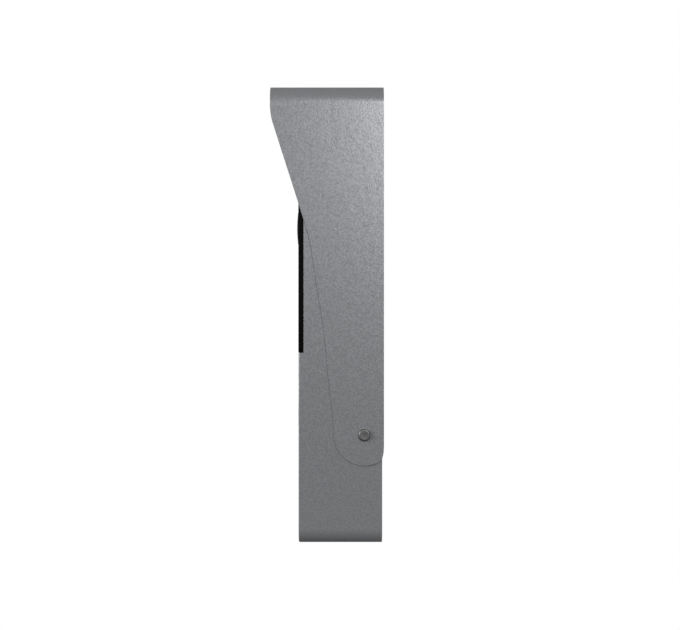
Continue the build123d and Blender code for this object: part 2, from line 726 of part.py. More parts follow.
with BuildPart() as infrared_board:
    with BuildSketch(at(UPPER_INNER - IR_BOARD)):
        with Locations((0, CAM_Z)):
            RectangleRounded(49, 32.4, 1)
            Circle(7.2, mode=Mode.SUBTRACT)
    extrude(amount=IR_BOARD)
keep(infrared_board.part, "infrared_board")

with BuildPart() as infrared_leds:
    with BuildSketch(at(UPPER_INNER)):
        with Locations((0, CAM_Z)):
            with PolarLocations(radius=LED_RING_R, count=6, start_angle=0):
                Rectangle(LED_SIZE, LED_SIZE)
    extrude(amount=0.9)
    with BuildSketch(at(UPPER_INNER + 0.9)):
        with Locations((0, CAM_Z)):
            with PolarLocations(radius=LED_RING_R, count=6, start_angle=0):
                Circle(1.4)
    extrude(amount=0.8)
keep(infrared_leds.part, "infrared_leds")

with BuildPart() as light_shield:
    with BuildSketch(at(UPPER_INNER)):
        with Locations((0, CAM_Z)):
            Circle(9.2)
            Circle(7.3, mode=Mode.SUBTRACT)
    extrude(amount=PANEL_REAR - UPPER_INNER)
keep(light_shield.part, "light_shield")

with BuildPart() as status_light_guide:
    with BuildSketch(at(UPPER_INNER - 1.5)):
        with Locations((0, STATUS_Z)):
            RectangleRounded(24, 4, 1)
    extrude(amount=1.5)
    with BuildSketch(at(UPPER_INNER)):
        with Locations(*STATUS_PLACES):
            Rectangle(4, 1.6)
    extrude(amount=PANEL_SEAT - UPPER_INNER)
keep(status_light_guide.part, "status_light_guide")

# --- Main board ---------------------------------------------------------------------------------------

with BuildPart() as main_board:
    with BuildSketch(at(BOARD_REAR)):
        with Locations((0, (BOARD_LOW + BOARD_HIGH) / 2)):
            RectangleRounded(2 * BOARD_X, BOARD_HIGH - BOARD_LOW, 2)
        with Locations(*BOARD_POSTS):
            Circle(POST_CLEAR_R, mode=Mode.SUBTRACT)
    extrude(amount=BOARD_FRONT - BOARD_REAR)
    # Small chips and connectors soldered to the board.
    with BuildSketch(at(BOARD_FRONT)):
        with Locations((-16, 4), (-14, 64)):
            Rectangle(5, 5)
        with Locations((14, 62)):
            Rectangle(7, 5)
    extrude(amount=0.9)
keep(main_board.part, "main_board")

with BuildPart() as processor:
    with BuildSketch(at(BOARD_FRONT)):
        with Locations(PROCESSOR):
            RectangleRounded(14, 14, 0.5)
    extrude(amount=CHIP_H)
keep(processor.part, "processor")

with BuildPart() as heat_sink:
    with BuildSketch(at(BOARD_FRONT + CHIP_H)):
        with Locations(PROCESSOR):
            Rectangle(15, 15)
    extrude(amount=SINK_BASE)
    with BuildSketch(at(BOARD_FRONT + CHIP_H + SINK_BASE)):
        with Locations(PROCESSOR):
            with GridLocations(2.8, 1, 6, 1):
                Rectangle(1, 15)
    extrude(amount=4)
keep(heat_sink.part, "heat_sink")

with BuildPart() as relay:
    with BuildSketch(at(BOARD_REAR)):
        with Locations((-13, 56)):
            RectangleRounded(12, 7.4, 0.6)
    extrude(amount=-5.4)
keep(relay.part, "relay")

with BuildPart() as capacitors:
    with BuildSketch(at(BOARD_FRONT)):
        with Locations((-8, 70), (0, 70), (8, 70)):
            Circle(3.15)
    extrude(amount=8)
    fillet(faces().group_by(Axis.Y)[0].edges(), radius=0.6)
keep(capacitors.part, "capacitors")

with BuildPart() as terminal_block:
    with BuildSketch(at(TERMINAL_REAR)):
        with Locations((0, 1)):
            Rectangle(10 * TERMINAL_PITCH, 8)
    extrude(amount=BOARD_REAR - TERMINAL_REAR)
    with BuildSketch(at(TERMINAL_REAR)):
        with Locations(*TERMINALS):
            Circle(1.4)
    extrude(amount=2.4, mode=Mode.SUBTRACT)
    with BuildSketch(Plane.XY.offset(5)):
        with Locations(*[(x, -9) for x, z in TERMINALS]):
            Rectangle(2.4, 2.6)
    extrude(amount=-6, mode=Mode.SUBTRACT)
keep(terminal_block.part, "terminal_block")

with BuildPart() as terminal_screws:
    with BuildSketch(at(TERMINAL_SCREW_REAR)):
        with Locations(*TERMINALS):
            Circle(1.3)
    extrude(amount=1.6)
    with BuildSketch(at(TERMINAL_SCREW_REAR)):
        with Locations(*TERMINALS):
            Rectangle(2, 0.45)
    extrude(amount=0.6, mode=Mode.SUBTRACT)
keep(terminal_screws.part, "terminal_screws")

with BuildPart() as compartment_seal:
    with BuildSketch(at(ENTRY_DEPTH)):
        with Locations((0, ENTRY_MID)):
            RectangleRounded(2 * (ENTRY_X + ENTRY_WALL), ENTRY_H + 2 * ENTRY_WALL, 4)
            RectangleRounded(2 * ENTRY_X, ENTRY_H, 3, mode=Mode.SUBTRACT)
    extrude(amount=BOARD_REAR - ENTRY_DEPTH)
keep(compartment_seal.part, "compartment_seal")

with BuildPart() as coin_cell_holder:
    with BuildSketch(at(BOARD_REAR)):
        with Locations(CELL):
            Circle(11)
    extrude(amount=-HOLDER_H)
    with BuildSketch(at(BOARD_REAR - HOLDER_H)):
        with Locations(CELL):
            Circle(10.1)
    extrude(amount=3.4, mode=Mode.SUBTRACT)
keep(coin_cell_holder.part, "coin_cell_holder")

with BuildPart() as coin_cell:
    with BuildSketch(at(BOARD_REAR - 0.8)):
        with Locations(CELL):
            Circle(10)
    extrude(amount=-3.2)
    fillet(faces().sort_by(Axis.Y)[-1].edges(), radius=0.5)
keep(coin_cell.part, "coin_cell")

with BuildPart() as camera_ribbon:
    with BuildSketch(Plane.YZ.offset(-11)):
        with BuildLine():
            FilletPolyline(
                (-BOARD_FRONT, RIBBON_Z - 11),
                (-21.6, RIBBON_Z - 11),
                (-21.6, RIBBON_Z),
                (-CAM_BOARD_FRONT, RIBBON_Z),
                radius=2.4,
            )
        trace(line_width=0.3)
    extrude(amount=8)
keep(camera_ribbon.part, "camera_ribbon")

# --- Switches at the back -----------------------------------------------------------------------------

with BuildPart() as reset_switch:
    with BuildSketch(at(RESET_CASE)):
        with Locations((RESET_X, RESET_Z)):
            RectangleRounded(4.4, 4.4, 0.4)
    extrude(amount=BOARD_REAR - RESET_CASE)
    with BuildSketch(at(RESET_CASE)):
        with Locations((RESET_X, RESET_Z)):
            Circle(RESET_PIN_R + RUN)
    extrude(amount=2.2, mode=Mode.SUBTRACT)
keep(reset_switch.part, "reset_switch")

with BuildPart() as reset_plunger:
    with BuildSketch(at(RESET_CASE - 1)):
        with Locations((RESET_X, RESET_Z)):
            Circle(RESET_PIN_R)
    extrude(amount=2.6)
    chamfer(faces().sort_by(Axis.Y)[-1].edges(), length=0.2)
keep(reset_plunger.part, "reset_plunger")

with BuildPart() as tamper_switch:
    with BuildSketch(at(TAMPER_CASE)):
        with Locations((0, TAMPER_Z)):
            RectangleRounded(6.4, 6.4, 0.5)
    extrude(amount=BOARD_REAR - TAMPER_CASE)
    with BuildSketch(at(TAMPER_CASE)):
        with Locations((0, TAMPER_Z)):
            Circle(TAMPER_PIN_R + RUN)
    extrude(amount=4.5, mode=Mode.SUBTRACT)
keep(tamper_switch.part, "tamper_switch")

with BuildPart() as tamper_plunger:
    with BuildSketch(at(0.05)):
        with Locations((0, TAMPER_Z)):
            Circle(TAMPER_PIN_R)
    extrude(amount=9.45)
    fillet(faces().sort_by(Axis.Y)[-1].edges(), radius=0.5)
    with BuildSketch(at(4.6)):
        with Locations((0, TAMPER_Z)):
            Circle(2.6)
    extrude(amount=0.7)
keep(tamper_plunger.part, "tamper_plunger")

with BuildPart() as tamper_spring:
    with BuildLine() as tamper_coil:
        Helix(pitch=0.62, height=1.24, radius=2.15, center=(0, -5.53, TAMPER_Z), direction=(0, -1, 0))
    with BuildSketch(Plane(origin=tamper_coil.line @ 0, z_dir=tamper_coil.line % 0)):
        Circle(0.15)
    sweep(is_frenet=True)
keep(tamper_spring.part, "tamper_spring")

# --- Call button --------------------------------------------------------------------------------------

with BuildPart() as button_bezel:
    with BuildSketch(Plane.XY.offset(BUTTON_Z)):
        with BuildLine():
            Polyline(
                (STEM_R + RUN, -FLOOR_REAR),
                (TUBE_OUT, -FLOOR_REAR),
                (TUBE_OUT, -BODY_FRONT),
                (BUTTON_BEZEL_R, -BODY_FRONT),
                (BUTTON_BEZEL_R - 0.4, -CAP_FRONT + 0.15),
                (BUTTON_BEZEL_R - 0.8, -CAP_FRONT),
                (TUBE_IN + 0.4, -CAP_FRONT),
                (TUBE_IN, -CAP_FRONT + 0.3),
                (TUBE_IN, -FLOOR_FRONT),
                (STEM_R + RUN, -FLOOR_FRONT),
                close=True,
            )
        make_face()
    revolve(axis=axis_y(BUTTON_Z))
    with BuildSketch(at(FLOOR_REAR)):
        with Locations((0, BUTTON_Z)):
            with PolarLocations(radius=PIPE_R, count=4, start_angle=45):
                Circle(0.8)
    extrude(amount=FLOOR_FRONT - FLOOR_REAR, mode=Mode.SUBTRACT)
keep(button_bezel.part, "button_bezel")

with BuildPart() as button_light_ring:
    with BuildSketch(at(RING_REAR)):
        with Locations((0, BUTTON_Z)):
            Circle(RING_OUT)
            Circle(RING_IN, mode=Mode.SUBTRACT)
    extrude(amount=RING_FRONT - RING_REAR)
    with BuildSketch(at(PIPE_REAR)):
        with Locations((0, BUTTON_Z)):
            with PolarLocations(radius=PIPE_R, count=4, start_angle=45):
                Circle(0.55)
    extrude(amount=RING_REAR - PIPE_REAR + 0.2)
keep(button_light_ring.part, "button_light_ring")

with BuildPart() as button_cap:
    with BuildSketch(Plane.XY.offset(BUTTON_Z)):
        with BuildLine():
            Polyline(
                (0, -STEM_TIP),
                (STEM_R, -STEM_TIP),
                (STEM_R, -25.2),
                (CLIP_GROOVE_R, -25.2),
                (CLIP_GROOVE_R, -25.95),
                (STEM_R, -25.95),
                (STEM_R, -CAP_REAR),
                (CAP_R, -CAP_REAR),
                (CAP_R, -CAP_FRONT + 0.35),
                (CAP_R - 0.35, -CAP_FRONT),
                (DISH_R, -CAP_FRONT),
            )
            dish_r = (DISH_R**2 + DISH**2) / (2 * DISH)
            RadiusArc((DISH_R, -CAP_FRONT), (0, -CAP_FRONT + DISH), -dish_r)
            Line((0, -CAP_FRONT + DISH), (0, -STEM_TIP))
        make_face()
    revolve(axis=axis_y(BUTTON_Z))
keep(button_cap.part, "button_cap")

with BuildPart() as button_clip:
    with BuildSketch(at(25.22)):
        with Locations((0, BUTTON_Z)):
            Circle(4.4)
            Circle(CLIP_GROOVE_R + 0.02, mode=Mode.SUBTRACT)
            with Locations((0, -3)):
                Rectangle(2.6, 4, mode=Mode.SUBTRACT)
    extrude(amount=0.7)
keep(button_clip.part, "button_clip")

with BuildPart() as button_spring:
    with BuildLine() as button_coil:
        Helix(pitch=1.3, height=3.9, radius=5.0, center=(0, -28.0, BUTTON_Z), direction=(0, -1, 0))
    with BuildSketch(Plane(origin=button_coil.line @ 0, z_dir=button_coil.line % 0)):
        Circle(0.35)
    sweep(is_frenet=True)
keep(button_spring.part, "button_spring")

with BuildPart() as button_nut:
    with BuildSketch(at(NUT_REAR)):
        with Locations((0, BUTTON_Z)):
            RegularPolygon(radius=14.0, side_count=6)
            Circle(TUBE_OUT + 0.05, mode=Mode.SUBTRACT)
    extrude(amount=LOWER_INNER - NUT_REAR)
keep(button_nut.part, "button_nut")

with BuildPart() as button_board:
    with BuildSketch(at(BUTTON_BOARD_REAR)):
        with Locations((0, BUTTON_Z)):
            RectangleRounded(39, 22, 2)
        with Locations(*BUTTON_POSTS):
            Circle(POST_CLEAR_R, mode=Mode.SUBTRACT)
    extrude(amount=BUTTON_BOARD_FRONT - BUTTON_BOARD_REAR)
keep(button_board.part, "button_board")

with BuildPart() as button_leds:
    with BuildSketch(at(BUTTON_BOARD_FRONT)):
        with Locations((0, BUTTON_Z)):
            with PolarLocations(radius=PIPE_R, count=4, start_angle=45):
                Rectangle(2.0, 1.6)
    extrude(amount=0.8)
keep(button_leds.part, "button_leds")

with BuildPart() as call_switch:
    with BuildSketch(at(BUTTON_BOARD_FRONT)):
        with Locations((0, BUTTON_Z)):
            RectangleRounded(6.2, 6.2, 0.5)
    extrude(amount=SWITCH_FRONT - BUTTON_BOARD_FRONT)
    with BuildSketch(at(20.2)):
        with Locations((0, BUTTON_Z)):
            Circle(PLUNGER_R + RUN)
    extrude(amount=3, mode=Mode.SUBTRACT)
keep(call_switch.part, "call_switch")

with BuildPart() as call_switch_plunger:
    with BuildSketch(at(PLUNGER_REAR)):
        with Locations((0, BUTTON_Z)):
            Circle(PLUNGER_R)
    extrude(amount=PLUNGER_TIP - PLUNGER_REAR)
    fillet(faces().sort_by(Axis.Y)[0].edges(), radius=0.2)
keep(call_switch_plunger.part, "call_switch_plunger")

# --- Loudspeaker and microphone -----------------------------------------------------------------------

with BuildPart() as speaker_mesh:
    with BuildSketch(at(LOWER_INNER - 0.3)):
        with Locations((0, SPEAKER_Z)):
            Circle(13.2)
    extrude(amount=0.3)
keep(speaker_mesh.part, "speaker_mesh")

with BuildPart() as speaker_gasket:
    with BuildSketch(at(SPEAKER_SEAT)):
        with Locations((0, SPEAKER_Z)):
            Circle(SPEAKER_R)
            Circle(12.6, mode=Mode.SUBTRACT)
    extrude(amount=1.0)
keep(speaker_gasket.part, "speaker_gasket")

with BuildPart() as speaker_frame:
    with BuildSketch(Plane.XY.offset(SPEAKER_Z)):
        with BuildLine():
            Polyline(
                (5.5, -SPEAKER_BACK),
                (12.0, -SPEAKER_BACK),
                (12.6, -SPEAKER_FLANGE),
                (SPEAKER_R, -SPEAKER_FLANGE),
                (SPEAKER_R, -SPEAKER_SEAT),
                (11.2, -SPEAKER_SEAT),
                (11.2, -SPEAKER_BACK - 1),
                (5.5, -SPEAKER_BACK - 1),
                close=True,
            )
        make_face()
    revolve(axis=axis_y(SPEAKER_Z))
    with BuildSketch(at(SPEAKER_FLANGE)):
        with Locations((0, SPEAKER_Z)):
            SlotOverall(44, 6)
            Circle(12, mode=Mode.SUBTRACT)
        with Locations(*SPEAKER_EARS):
            Circle(POST_CLEAR_R, mode=Mode.SUBTRACT)
    extrude(amount=SPEAKER_SEAT - SPEAKER_FLANGE)
keep(speaker_frame.part, "speaker_frame")

with BuildPart() as speaker_magnet:
    with BuildSketch(Plane.XY.offset(SPEAKER_Z)):
        with BuildLine():
            Polyline(
                (0, -18.5),
                (9.0, -18.5),
                (9.0, -SPEAKER_BACK),
                (5.0, -SPEAKER_BACK),
                (5.0, -20.3),
                (3.8, -20.3),
                (3.8, -25.0),
                (0, -25.0),
                close=True,
            )
        make_face()
    revolve(axis=axis_y(SPEAKER_Z))
keep(speaker_magnet.part, "speaker_magnet")

with BuildPart() as speaker_cone:
    with BuildSketch(Plane.XY.offset(SPEAKER_Z)):
        with BuildLine():
            Polyline(
                (4.15, -21.2),
                (4.55, -21.2),
                (4.55, -27.2),
                (9.3, -30.0),
                (9.3, -30.4),
                (4.6, -27.7),
            )
            RadiusArc((4.6, -27.7), (0, -29.4), (4.6**2 + 1.7**2) / 3.4)
            Line((0, -29.4), (0, -29.0))
            RadiusArc((0, -29.0), (4.15, -27.4), -(4.15**2 + 1.6**2) / 3.2)
            Line((4.15, -27.4), (4.15, -21.2))
        make_face()
    revolve(axis=axis_y(SPEAKER_Z))
keep(speaker_cone.part, "speaker_cone")

with BuildPart() as speaker_surround:
    with BuildSketch(Plane.XY.offset(SPEAKER_Z)):
        with BuildLine():
            Line((9.32, -30.0), (9.62, -30.0))
            ThreePointArc((9.62, -30.0), (10.25, -30.6), (10.88, -30.0))
            Line((10.88, -30.0), (11.18, -30.0))
            ThreePointArc((11.18, -30.0), (10.25, -30.88), (9.32, -30.0))
        make_face()
    revolve(axis=axis_y(SPEAKER_Z))
keep(speaker_surround.part, "speaker_surround")

with BuildPart() as microphone_boot:
    with BuildSketch(at(MIC_REAR)):
        with Locations((0, MIC_Z)):
            Circle(4)
    extrude(amount=LOWER_INNER - MIC_REAR)
    with BuildSketch(at(MIC_REAR)):
        with Locations((0, MIC_Z)):
            Circle(3)
    extrude(amount=2.6, mode=Mode.SUBTRACT)
    with BuildSketch(at(MIC_REAR)):
        with Locations((0, MIC_Z)):
            Circle(0.9)
    extrude(amount=5, mode=Mode.SUBTRACT)
keep(microphone_boot.part, "microphone_boot")

with BuildPart() as microphone:
    with BuildSketch(at(MIC_REAR)):
        with Locations((0, MIC_Z)):
            Circle(3)
    extrude(amount=2.5)
keep(microphone.part, "microphone")

with BuildPart() as speaker_lead:
    with BuildLine() as lead_path:
        FilletPolyline(
            (-14.0, -BOARD_FRONT, -11.5),
            (-14.0, -20.5, -11.5),
            (-21.0, -23.5, -26.0),
            (-21.4, -24.5, -46.0),
            (-18.0, -24.0, -60.0),
            (-12.9, -27.0, -66.5),
            radius=[3.5, 5.0, 12.0, 6.0],
        )
    with BuildSketch(Plane(origin=lead_path.line @ 0, z_dir=lead_path.line % 0)):
        Circle(0.6)
    sweep()
keep(speaker_lead.part, "speaker_lead")
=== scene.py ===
"""Finishes a video doorbell: a coated metal wall station with a rain hood, a window and a call button.

The station hangs on the wall plane y = 0 and faces -Y, with +Z up. Lengths are in metres.
"""

import json
import math

import bmesh
import bpy
from bpy.props import FloatProperty, FloatVectorProperty, IntProperty, PointerProperty
from mathutils import Matrix, Vector


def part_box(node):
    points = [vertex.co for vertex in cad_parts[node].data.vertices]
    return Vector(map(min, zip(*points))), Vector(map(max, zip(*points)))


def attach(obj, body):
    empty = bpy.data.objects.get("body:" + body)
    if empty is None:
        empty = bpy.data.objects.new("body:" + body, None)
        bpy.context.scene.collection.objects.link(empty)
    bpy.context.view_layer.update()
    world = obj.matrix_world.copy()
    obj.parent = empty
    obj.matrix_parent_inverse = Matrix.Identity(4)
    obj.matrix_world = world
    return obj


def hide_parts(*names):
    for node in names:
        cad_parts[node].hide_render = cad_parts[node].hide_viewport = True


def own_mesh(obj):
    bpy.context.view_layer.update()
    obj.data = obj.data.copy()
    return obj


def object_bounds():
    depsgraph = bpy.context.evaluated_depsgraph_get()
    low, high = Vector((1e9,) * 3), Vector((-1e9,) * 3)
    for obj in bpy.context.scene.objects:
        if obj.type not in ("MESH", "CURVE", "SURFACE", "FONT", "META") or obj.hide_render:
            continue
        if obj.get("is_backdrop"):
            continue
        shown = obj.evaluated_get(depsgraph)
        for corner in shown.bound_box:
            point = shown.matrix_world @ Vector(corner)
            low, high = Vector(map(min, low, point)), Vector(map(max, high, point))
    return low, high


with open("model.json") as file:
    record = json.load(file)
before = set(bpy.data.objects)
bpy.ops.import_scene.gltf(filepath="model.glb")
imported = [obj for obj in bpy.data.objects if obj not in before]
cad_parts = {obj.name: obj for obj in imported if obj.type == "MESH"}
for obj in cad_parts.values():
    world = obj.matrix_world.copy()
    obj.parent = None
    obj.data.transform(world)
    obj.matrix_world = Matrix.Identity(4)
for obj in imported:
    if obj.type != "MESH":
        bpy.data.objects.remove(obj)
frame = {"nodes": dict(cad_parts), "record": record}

bl_info = {
    "name": "Video Doorbell Finisher",
    "version": (1, 0, 0),
    "blender": (4, 5, 0),
    "location": "View3D > Sidebar > Doorbell",
    "description": "Dresses the doorbell's parts, adds its finely finished pieces and sets up the studio",
    "category": "Object",
}

MM = 0.001
FRONT = Vector((0, -1, 0))
RIGHT = Vector((1, 0, 0))
UP = Vector((0, 0, 1))


# --- Settings -------------------------------------------------------------------------------------------


def colour_setting(name, description, default):
    """A colour that the user can pick in the panel."""
    return FloatVectorProperty(
        name=name, description=description, default=default, subtype="COLOR", size=3, min=0, max=1
    )


def length_setting(name, description, default):
    """A length that the user can set in the panel."""
    return FloatProperty(
        name=name, description=description, default=default, unit="LENGTH", subtype="DISTANCE"
    )


def power_setting(name, description, default):
    """A lamp's power that the user can set in the panel."""
    return FloatProperty(name=name, description=description, default=default, unit="POWER")


class DoorbellColours(bpy.types.PropertyGroup):
    """Colours of the finishes that are seen from outside."""

    coat: colour_setting("Coat", "Sand-textured coating of the hood and the body", (0.27, 0.274, 0.285))
    coat_fleck: colour_setting("Coat fleck", "Darker flecks of the coating", (0.262, 0.266, 0.277))
    window: colour_setting("Window", "Black glazing of the front panel", (0.0022, 0.0022, 0.0025))
    steel: colour_setting("Steel", "Stainless steel of the button and the screws", (0.46, 0.46, 0.455))
    glow: colour_setting("Glow", "Light of the button's ring", (0.55, 0.8, 1.0))
    print_white: colour_setting("Print", "Symbols printed on the window", (0.75, 0.78, 0.8))


class DoorbellSizes(bpy.types.PropertyGroup):
    """Sizes of the pieces added to the frame."""

    bell_width: length_setting("Bell width", "Width of the bell symbol on the call button", 6.4 * MM)
    status_width: length_setting("Status symbol width", "Width of each symbol on the window", 3.4 * MM)
    edge_round: length_setting("Edge rounding", "Rounding of the coated metal's edges", 0.12 * MM)
    turning_steps: IntProperty(
        name="Turning steps",
        description="Steps in a full turn of a round piece",
        default=96,
        min=24,
        max=192,
    )


class DoorbellStudio(bpy.types.PropertyGroup):
    """Camera and lights."""

    camera_distance: length_setting("Camera distance", "From the camera to the hood's nearer side", 0.5)
    frame_width: length_setting("Frame width", "Width of the view at the hood's nearer side", 0.272)
    key_power: power_setting("Key power", "Power of the small softbox at the wall side", 3.05)
    rim_power: power_setting("Rim power", "Power of the softbox in front of the station", 5.8)
    far_power: power_setting("Far power", "Power of each softbox beyond and behind the station", 4.0)
    fill: FloatProperty(
        name="Room light",
        description="Brightness of the room around the station",
        default=0.325,
        min=0,
        max=2,
    )


# --- Shader node groups ---------------------------------------------------------------------------------


def new_group(name, inputs, outputs):
    """An empty shader node group with named sockets, its input node and its output node."""
    group = bpy.data.node_groups.new(name, "ShaderNodeTree")
    for label, default in inputs.items():
        kind = "NodeSocketVector" if isinstance(default, tuple) else "NodeSocketFloat"
        group.interface.new_socket(name=label, in_out="INPUT", socket_type=kind).default_value = default
    for label in outputs:
        group.interface.new_socket(name=label, in_out="OUTPUT", socket_type="NodeSocketFloat")
    return group, group.nodes.new("NodeGroupInput"), group.nodes.new("NodeGroupOutput")


def supply(tree, socket, value):
    """Give an input its value: another socket is linked, and anything else is set as its constant."""
    if isinstance(value, bpy.types.NodeSocket):
        tree.links.new(value, socket)
    else:
        socket.default_value = value


def object_place(tree):
    """Object coordinates."""
    return tree.nodes.new("ShaderNodeTexCoord").outputs["Object"]


def math_node(tree, operation, first, second, clamp=False):
    """The result of a Math node on two values."""
    node = tree.nodes.new("ShaderNodeMath")
    node.operation = operation
    node.use_clamp = clamp
    supply(tree, node.inputs[0], first)
    supply(tree, node.inputs[1], second)
    return node.outputs[0]


def vector_node(tree, operation, first, second=None):
    """The outputs of a Vector Math node on one or two vectors."""
    node = tree.nodes.new("ShaderNodeVectorMath")
    node.operation = operation
    supply(tree, node.inputs[0], first)
    if second is not None:
        supply(tree, node.inputs[1], second)
    return node.outputs


def noise(tree, vector, scale, detail=2.0, roughness=0.5):
    """The value of a noise texture over a vector."""
    node = tree.nodes.new("ShaderNodeTexNoise")
    values = {"Vector": vector, "Scale": scale, "Detail": detail, "Roughness": roughness}
    for label, value in values.items():
        supply(tree, node.inputs[label], value)
    return node.outputs["Fac"]


def sand_group():
    """The pebbled surface of a textured powder coat, with flakes that each have a random value."""
    group, given, out = new_group("Sand Texture", {"Scale": 2200.0, "Clumping": 0.5}, ("Height", "Fleck"))
    off_square = (0.6, 0.35, 0.9)
    coarse_share, flake_share = 0.28, 1.7
    scale = given.outputs["Scale"]
    turn = group.nodes.new("ShaderNodeMapping")
    turn.inputs["Rotation"].default_value = off_square
    group.links.new(object_place(group), turn.inputs["Vector"])
    place = turn.outputs["Vector"]
    fine = noise(group, place, scale, detail=3.0, roughness=0.6)
    coarse = noise(group, place, math_node(group, "MULTIPLY", scale, coarse_share), detail=1.0)
    clumps = math_node(group, "MULTIPLY", coarse, given.outputs["Clumping"])
    group.links.new(math_node(group, "ADD", fine, clumps), out.inputs["Height"])
    flakes = group.nodes.new("ShaderNodeTexVoronoi")
    group.links.new(place, flakes.inputs["Vector"])
    group.links.new(math_node(group, "MULTIPLY", scale, flake_share), flakes.inputs["Scale"])
    flake = group.nodes.new("ShaderNodeSeparateColor")
    group.links.new(flakes.outputs["Color"], flake.inputs["Color"])
    group.links.new(flake.outputs["Red"], out.inputs["Fleck"])
    return group


def grain_group():
    """An even grain that can be stretched into brush lines."""
    inputs = {"Scale": 1500.0, "Stretch": (1.0, 1.0, 1.0)}
    group, given, out = new_group("Grain", inputs, ("Value", "Smudge"))
    smudge_scale = 60.0
    place = object_place(group)
    stretched = vector_node(group, "MULTIPLY", place, given.outputs["Stretch"])["Vector"]
    grain = noise(group, stretched, given.outputs["Scale"], detail=3.0)
    group.links.new(grain, out.inputs["Value"])
    group.links.new(noise(group, place, smudge_scale, detail=3.0, roughness=0.65), out.inputs["Smudge"])
    return group


def rings_group():
    """Fine turning marks around an axis that runs front to back."""
    inputs = {"Centre": (0.0, 0.0, 0.0), "Scale": 5000.0}
    group, given, out = new_group("Turning Marks", inputs, ("Value", "Radius"))
    across_axis = (1, 0, 1)
    offset = vector_node(group, "SUBTRACT", object_place(group), given.outputs["Centre"])["Vector"]
    flat = vector_node(group, "MULTIPLY", offset, across_axis)["Vector"]
    radius = vector_node(group, "LENGTH", flat)["Value"]
    marks = group.nodes.new("ShaderNodeTexNoise")
    marks.noise_dimensions = "1D"
    for label, value in (("W", radius), ("Scale", given.outputs["Scale"]), ("Detail", 3.0)):
        supply(group, marks.inputs[label], value)
    group.links.new(marks.outputs["Fac"], out.inputs["Value"])
    group.links.new(radius, out.inputs["Radius"])
    return group


def dust_group():
    """Thin dust that settles on faces that look up."""
    group, given, out = new_group("Settled Dust", {"Amount": 0.2}, ("Mask",))
    steepest, gain, patch_scale = 0.55, 2.2, 320.0
    facing = group.nodes.new("ShaderNodeSeparateXYZ")
    group.links.new(group.nodes.new("ShaderNodeNewGeometry").outputs["Normal"], facing.inputs[0])
    rise = math_node(group, "SUBTRACT", facing.outputs["Z"], steepest)
    upward = math_node(group, "MULTIPLY", rise, gain, clamp=True)
    patches = noise(group, object_place(group), patch_scale, detail=4.0, roughness=0.7)
    cover = math_node(group, "MULTIPLY", upward, patches)
    group.links.new(math_node(group, "MULTIPLY", cover, given.outputs["Amount"]), out.inputs["Mask"])
    return group


def shared_groups():
    """The shared node groups, built once."""
    makers = {
        "Sand Texture": sand_group,
        "Grain": grain_group,
        "Turning Marks": rings_group,
        "Settled Dust": dust_group,
    }
    for name, make in makers.items():
        if name not in bpy.data.node_groups:
            make()
    return bpy.data.node_groups


# --- Material helpers -----------------------------------------------------------------------------------

WALL_DUST = (0.3, 0.29, 0.27)
HOUSE_DUST = (0.32, 0.3, 0.27)


class Finish:
    """A material in the making: its node tree and its Principled shader."""

    def __init__(self, name, roughness, metallic=0.0):
        self.material = bpy.data.materials.new(name)
        self.material.use_nodes = True
        self.tree = self.material.node_tree
        self.shader = self.tree.nodes["Principled BSDF"]
        self.shader.inputs["Roughness"].default_value = roughness
        self.shader.inputs["Metallic"].default_value = metallic

    def set(self, **values):
        """Set constant values on the shader, with underscores for spaces in the sockets' names."""
        for label, value in values.items():
            self.shader.inputs[label.replace("_", " ")].default_value = value

    def effect(self, name, **values):
        """Place a shared node group with this material's own values."""
        node = self.tree.nodes.new("ShaderNodeGroup")
        node.node_tree = shared_groups()[name]
        for label, value in values.items():
            node.inputs[label].default_value = value
        return node.outputs

    def blend(self, factor, first, second):
        """A mix of two colours. Each is a colour or a socket."""
        node = self.tree.nodes.new("ShaderNodeMix")
        node.data_type = "RGBA"
        self.tree.links.new(factor, node.inputs["Factor"])
        for label, value in (("A", first), ("B", second)):
            linked = isinstance(value, bpy.types.NodeSocket)
            supply(self.tree, node.inputs[label], value if linked else (*value, 1))
        return node.outputs["Result"]

    def between(self, value, low, high):
        """A value of 0 to 1 mapped to a range."""
        node = self.tree.nodes.new("ShaderNodeMapRange")
        node.inputs["To Min"].default_value = low
        node.inputs["To Max"].default_value = high
        self.tree.links.new(value, node.inputs["Value"])
        return node.outputs["Result"]

    def above(self, value, threshold, sharpness=20.0):
        """A mask of where a value is above a threshold."""
        over = math_node(self.tree, "SUBTRACT", value, threshold)
        return math_node(self.tree, "MULTIPLY", over, sharpness, clamp=True)

    def feed(self, label, socket):
        """Link a socket to the shader."""
        self.tree.links.new(socket, self.shader.inputs[label])

    def bump(self, height, strength, depth):
        """Raise the surface by a height field."""
        node = self.tree.nodes.new("ShaderNodeBump")
        node.inputs["Strength"].default_value = strength
        node.inputs["Distance"].default_value = depth
        self.tree.links.new(height, node.inputs["Height"])
        self.feed("Normal", node.outputs["Normal"])


def grained(
    name, base, shade, roughness, metallic=0.0, scale=1500.0, stretch=(1, 1, 1), bump=0.25, dust=0.0
):
    """A finish with a grain in its colour, its gloss and its relief."""
    finish = Finish(name, roughness, metallic)
    grain = finish.effect("Grain", Scale=scale, Stretch=stretch)
    colour = finish.blend(grain["Value"], base, shade)
    if dust:
        mask = finish.effect("Settled Dust", Amount=dust)["Mask"]
        colour = finish.blend(mask, colour, HOUSE_DUST)
    finish.feed("Base Color", colour)
    finish.feed("Roughness", finish.between(grain["Smudge"], roughness * 0.8, roughness * 1.2))
    finish.bump(grain["Value"], bump, 0.02 * MM)
    return finish


# --- Finishes -------------------------------------------------------------------------------------------


def scaled(colour, share):
    """A colour made darker or lighter."""
    return tuple(channel * share for channel in colour)


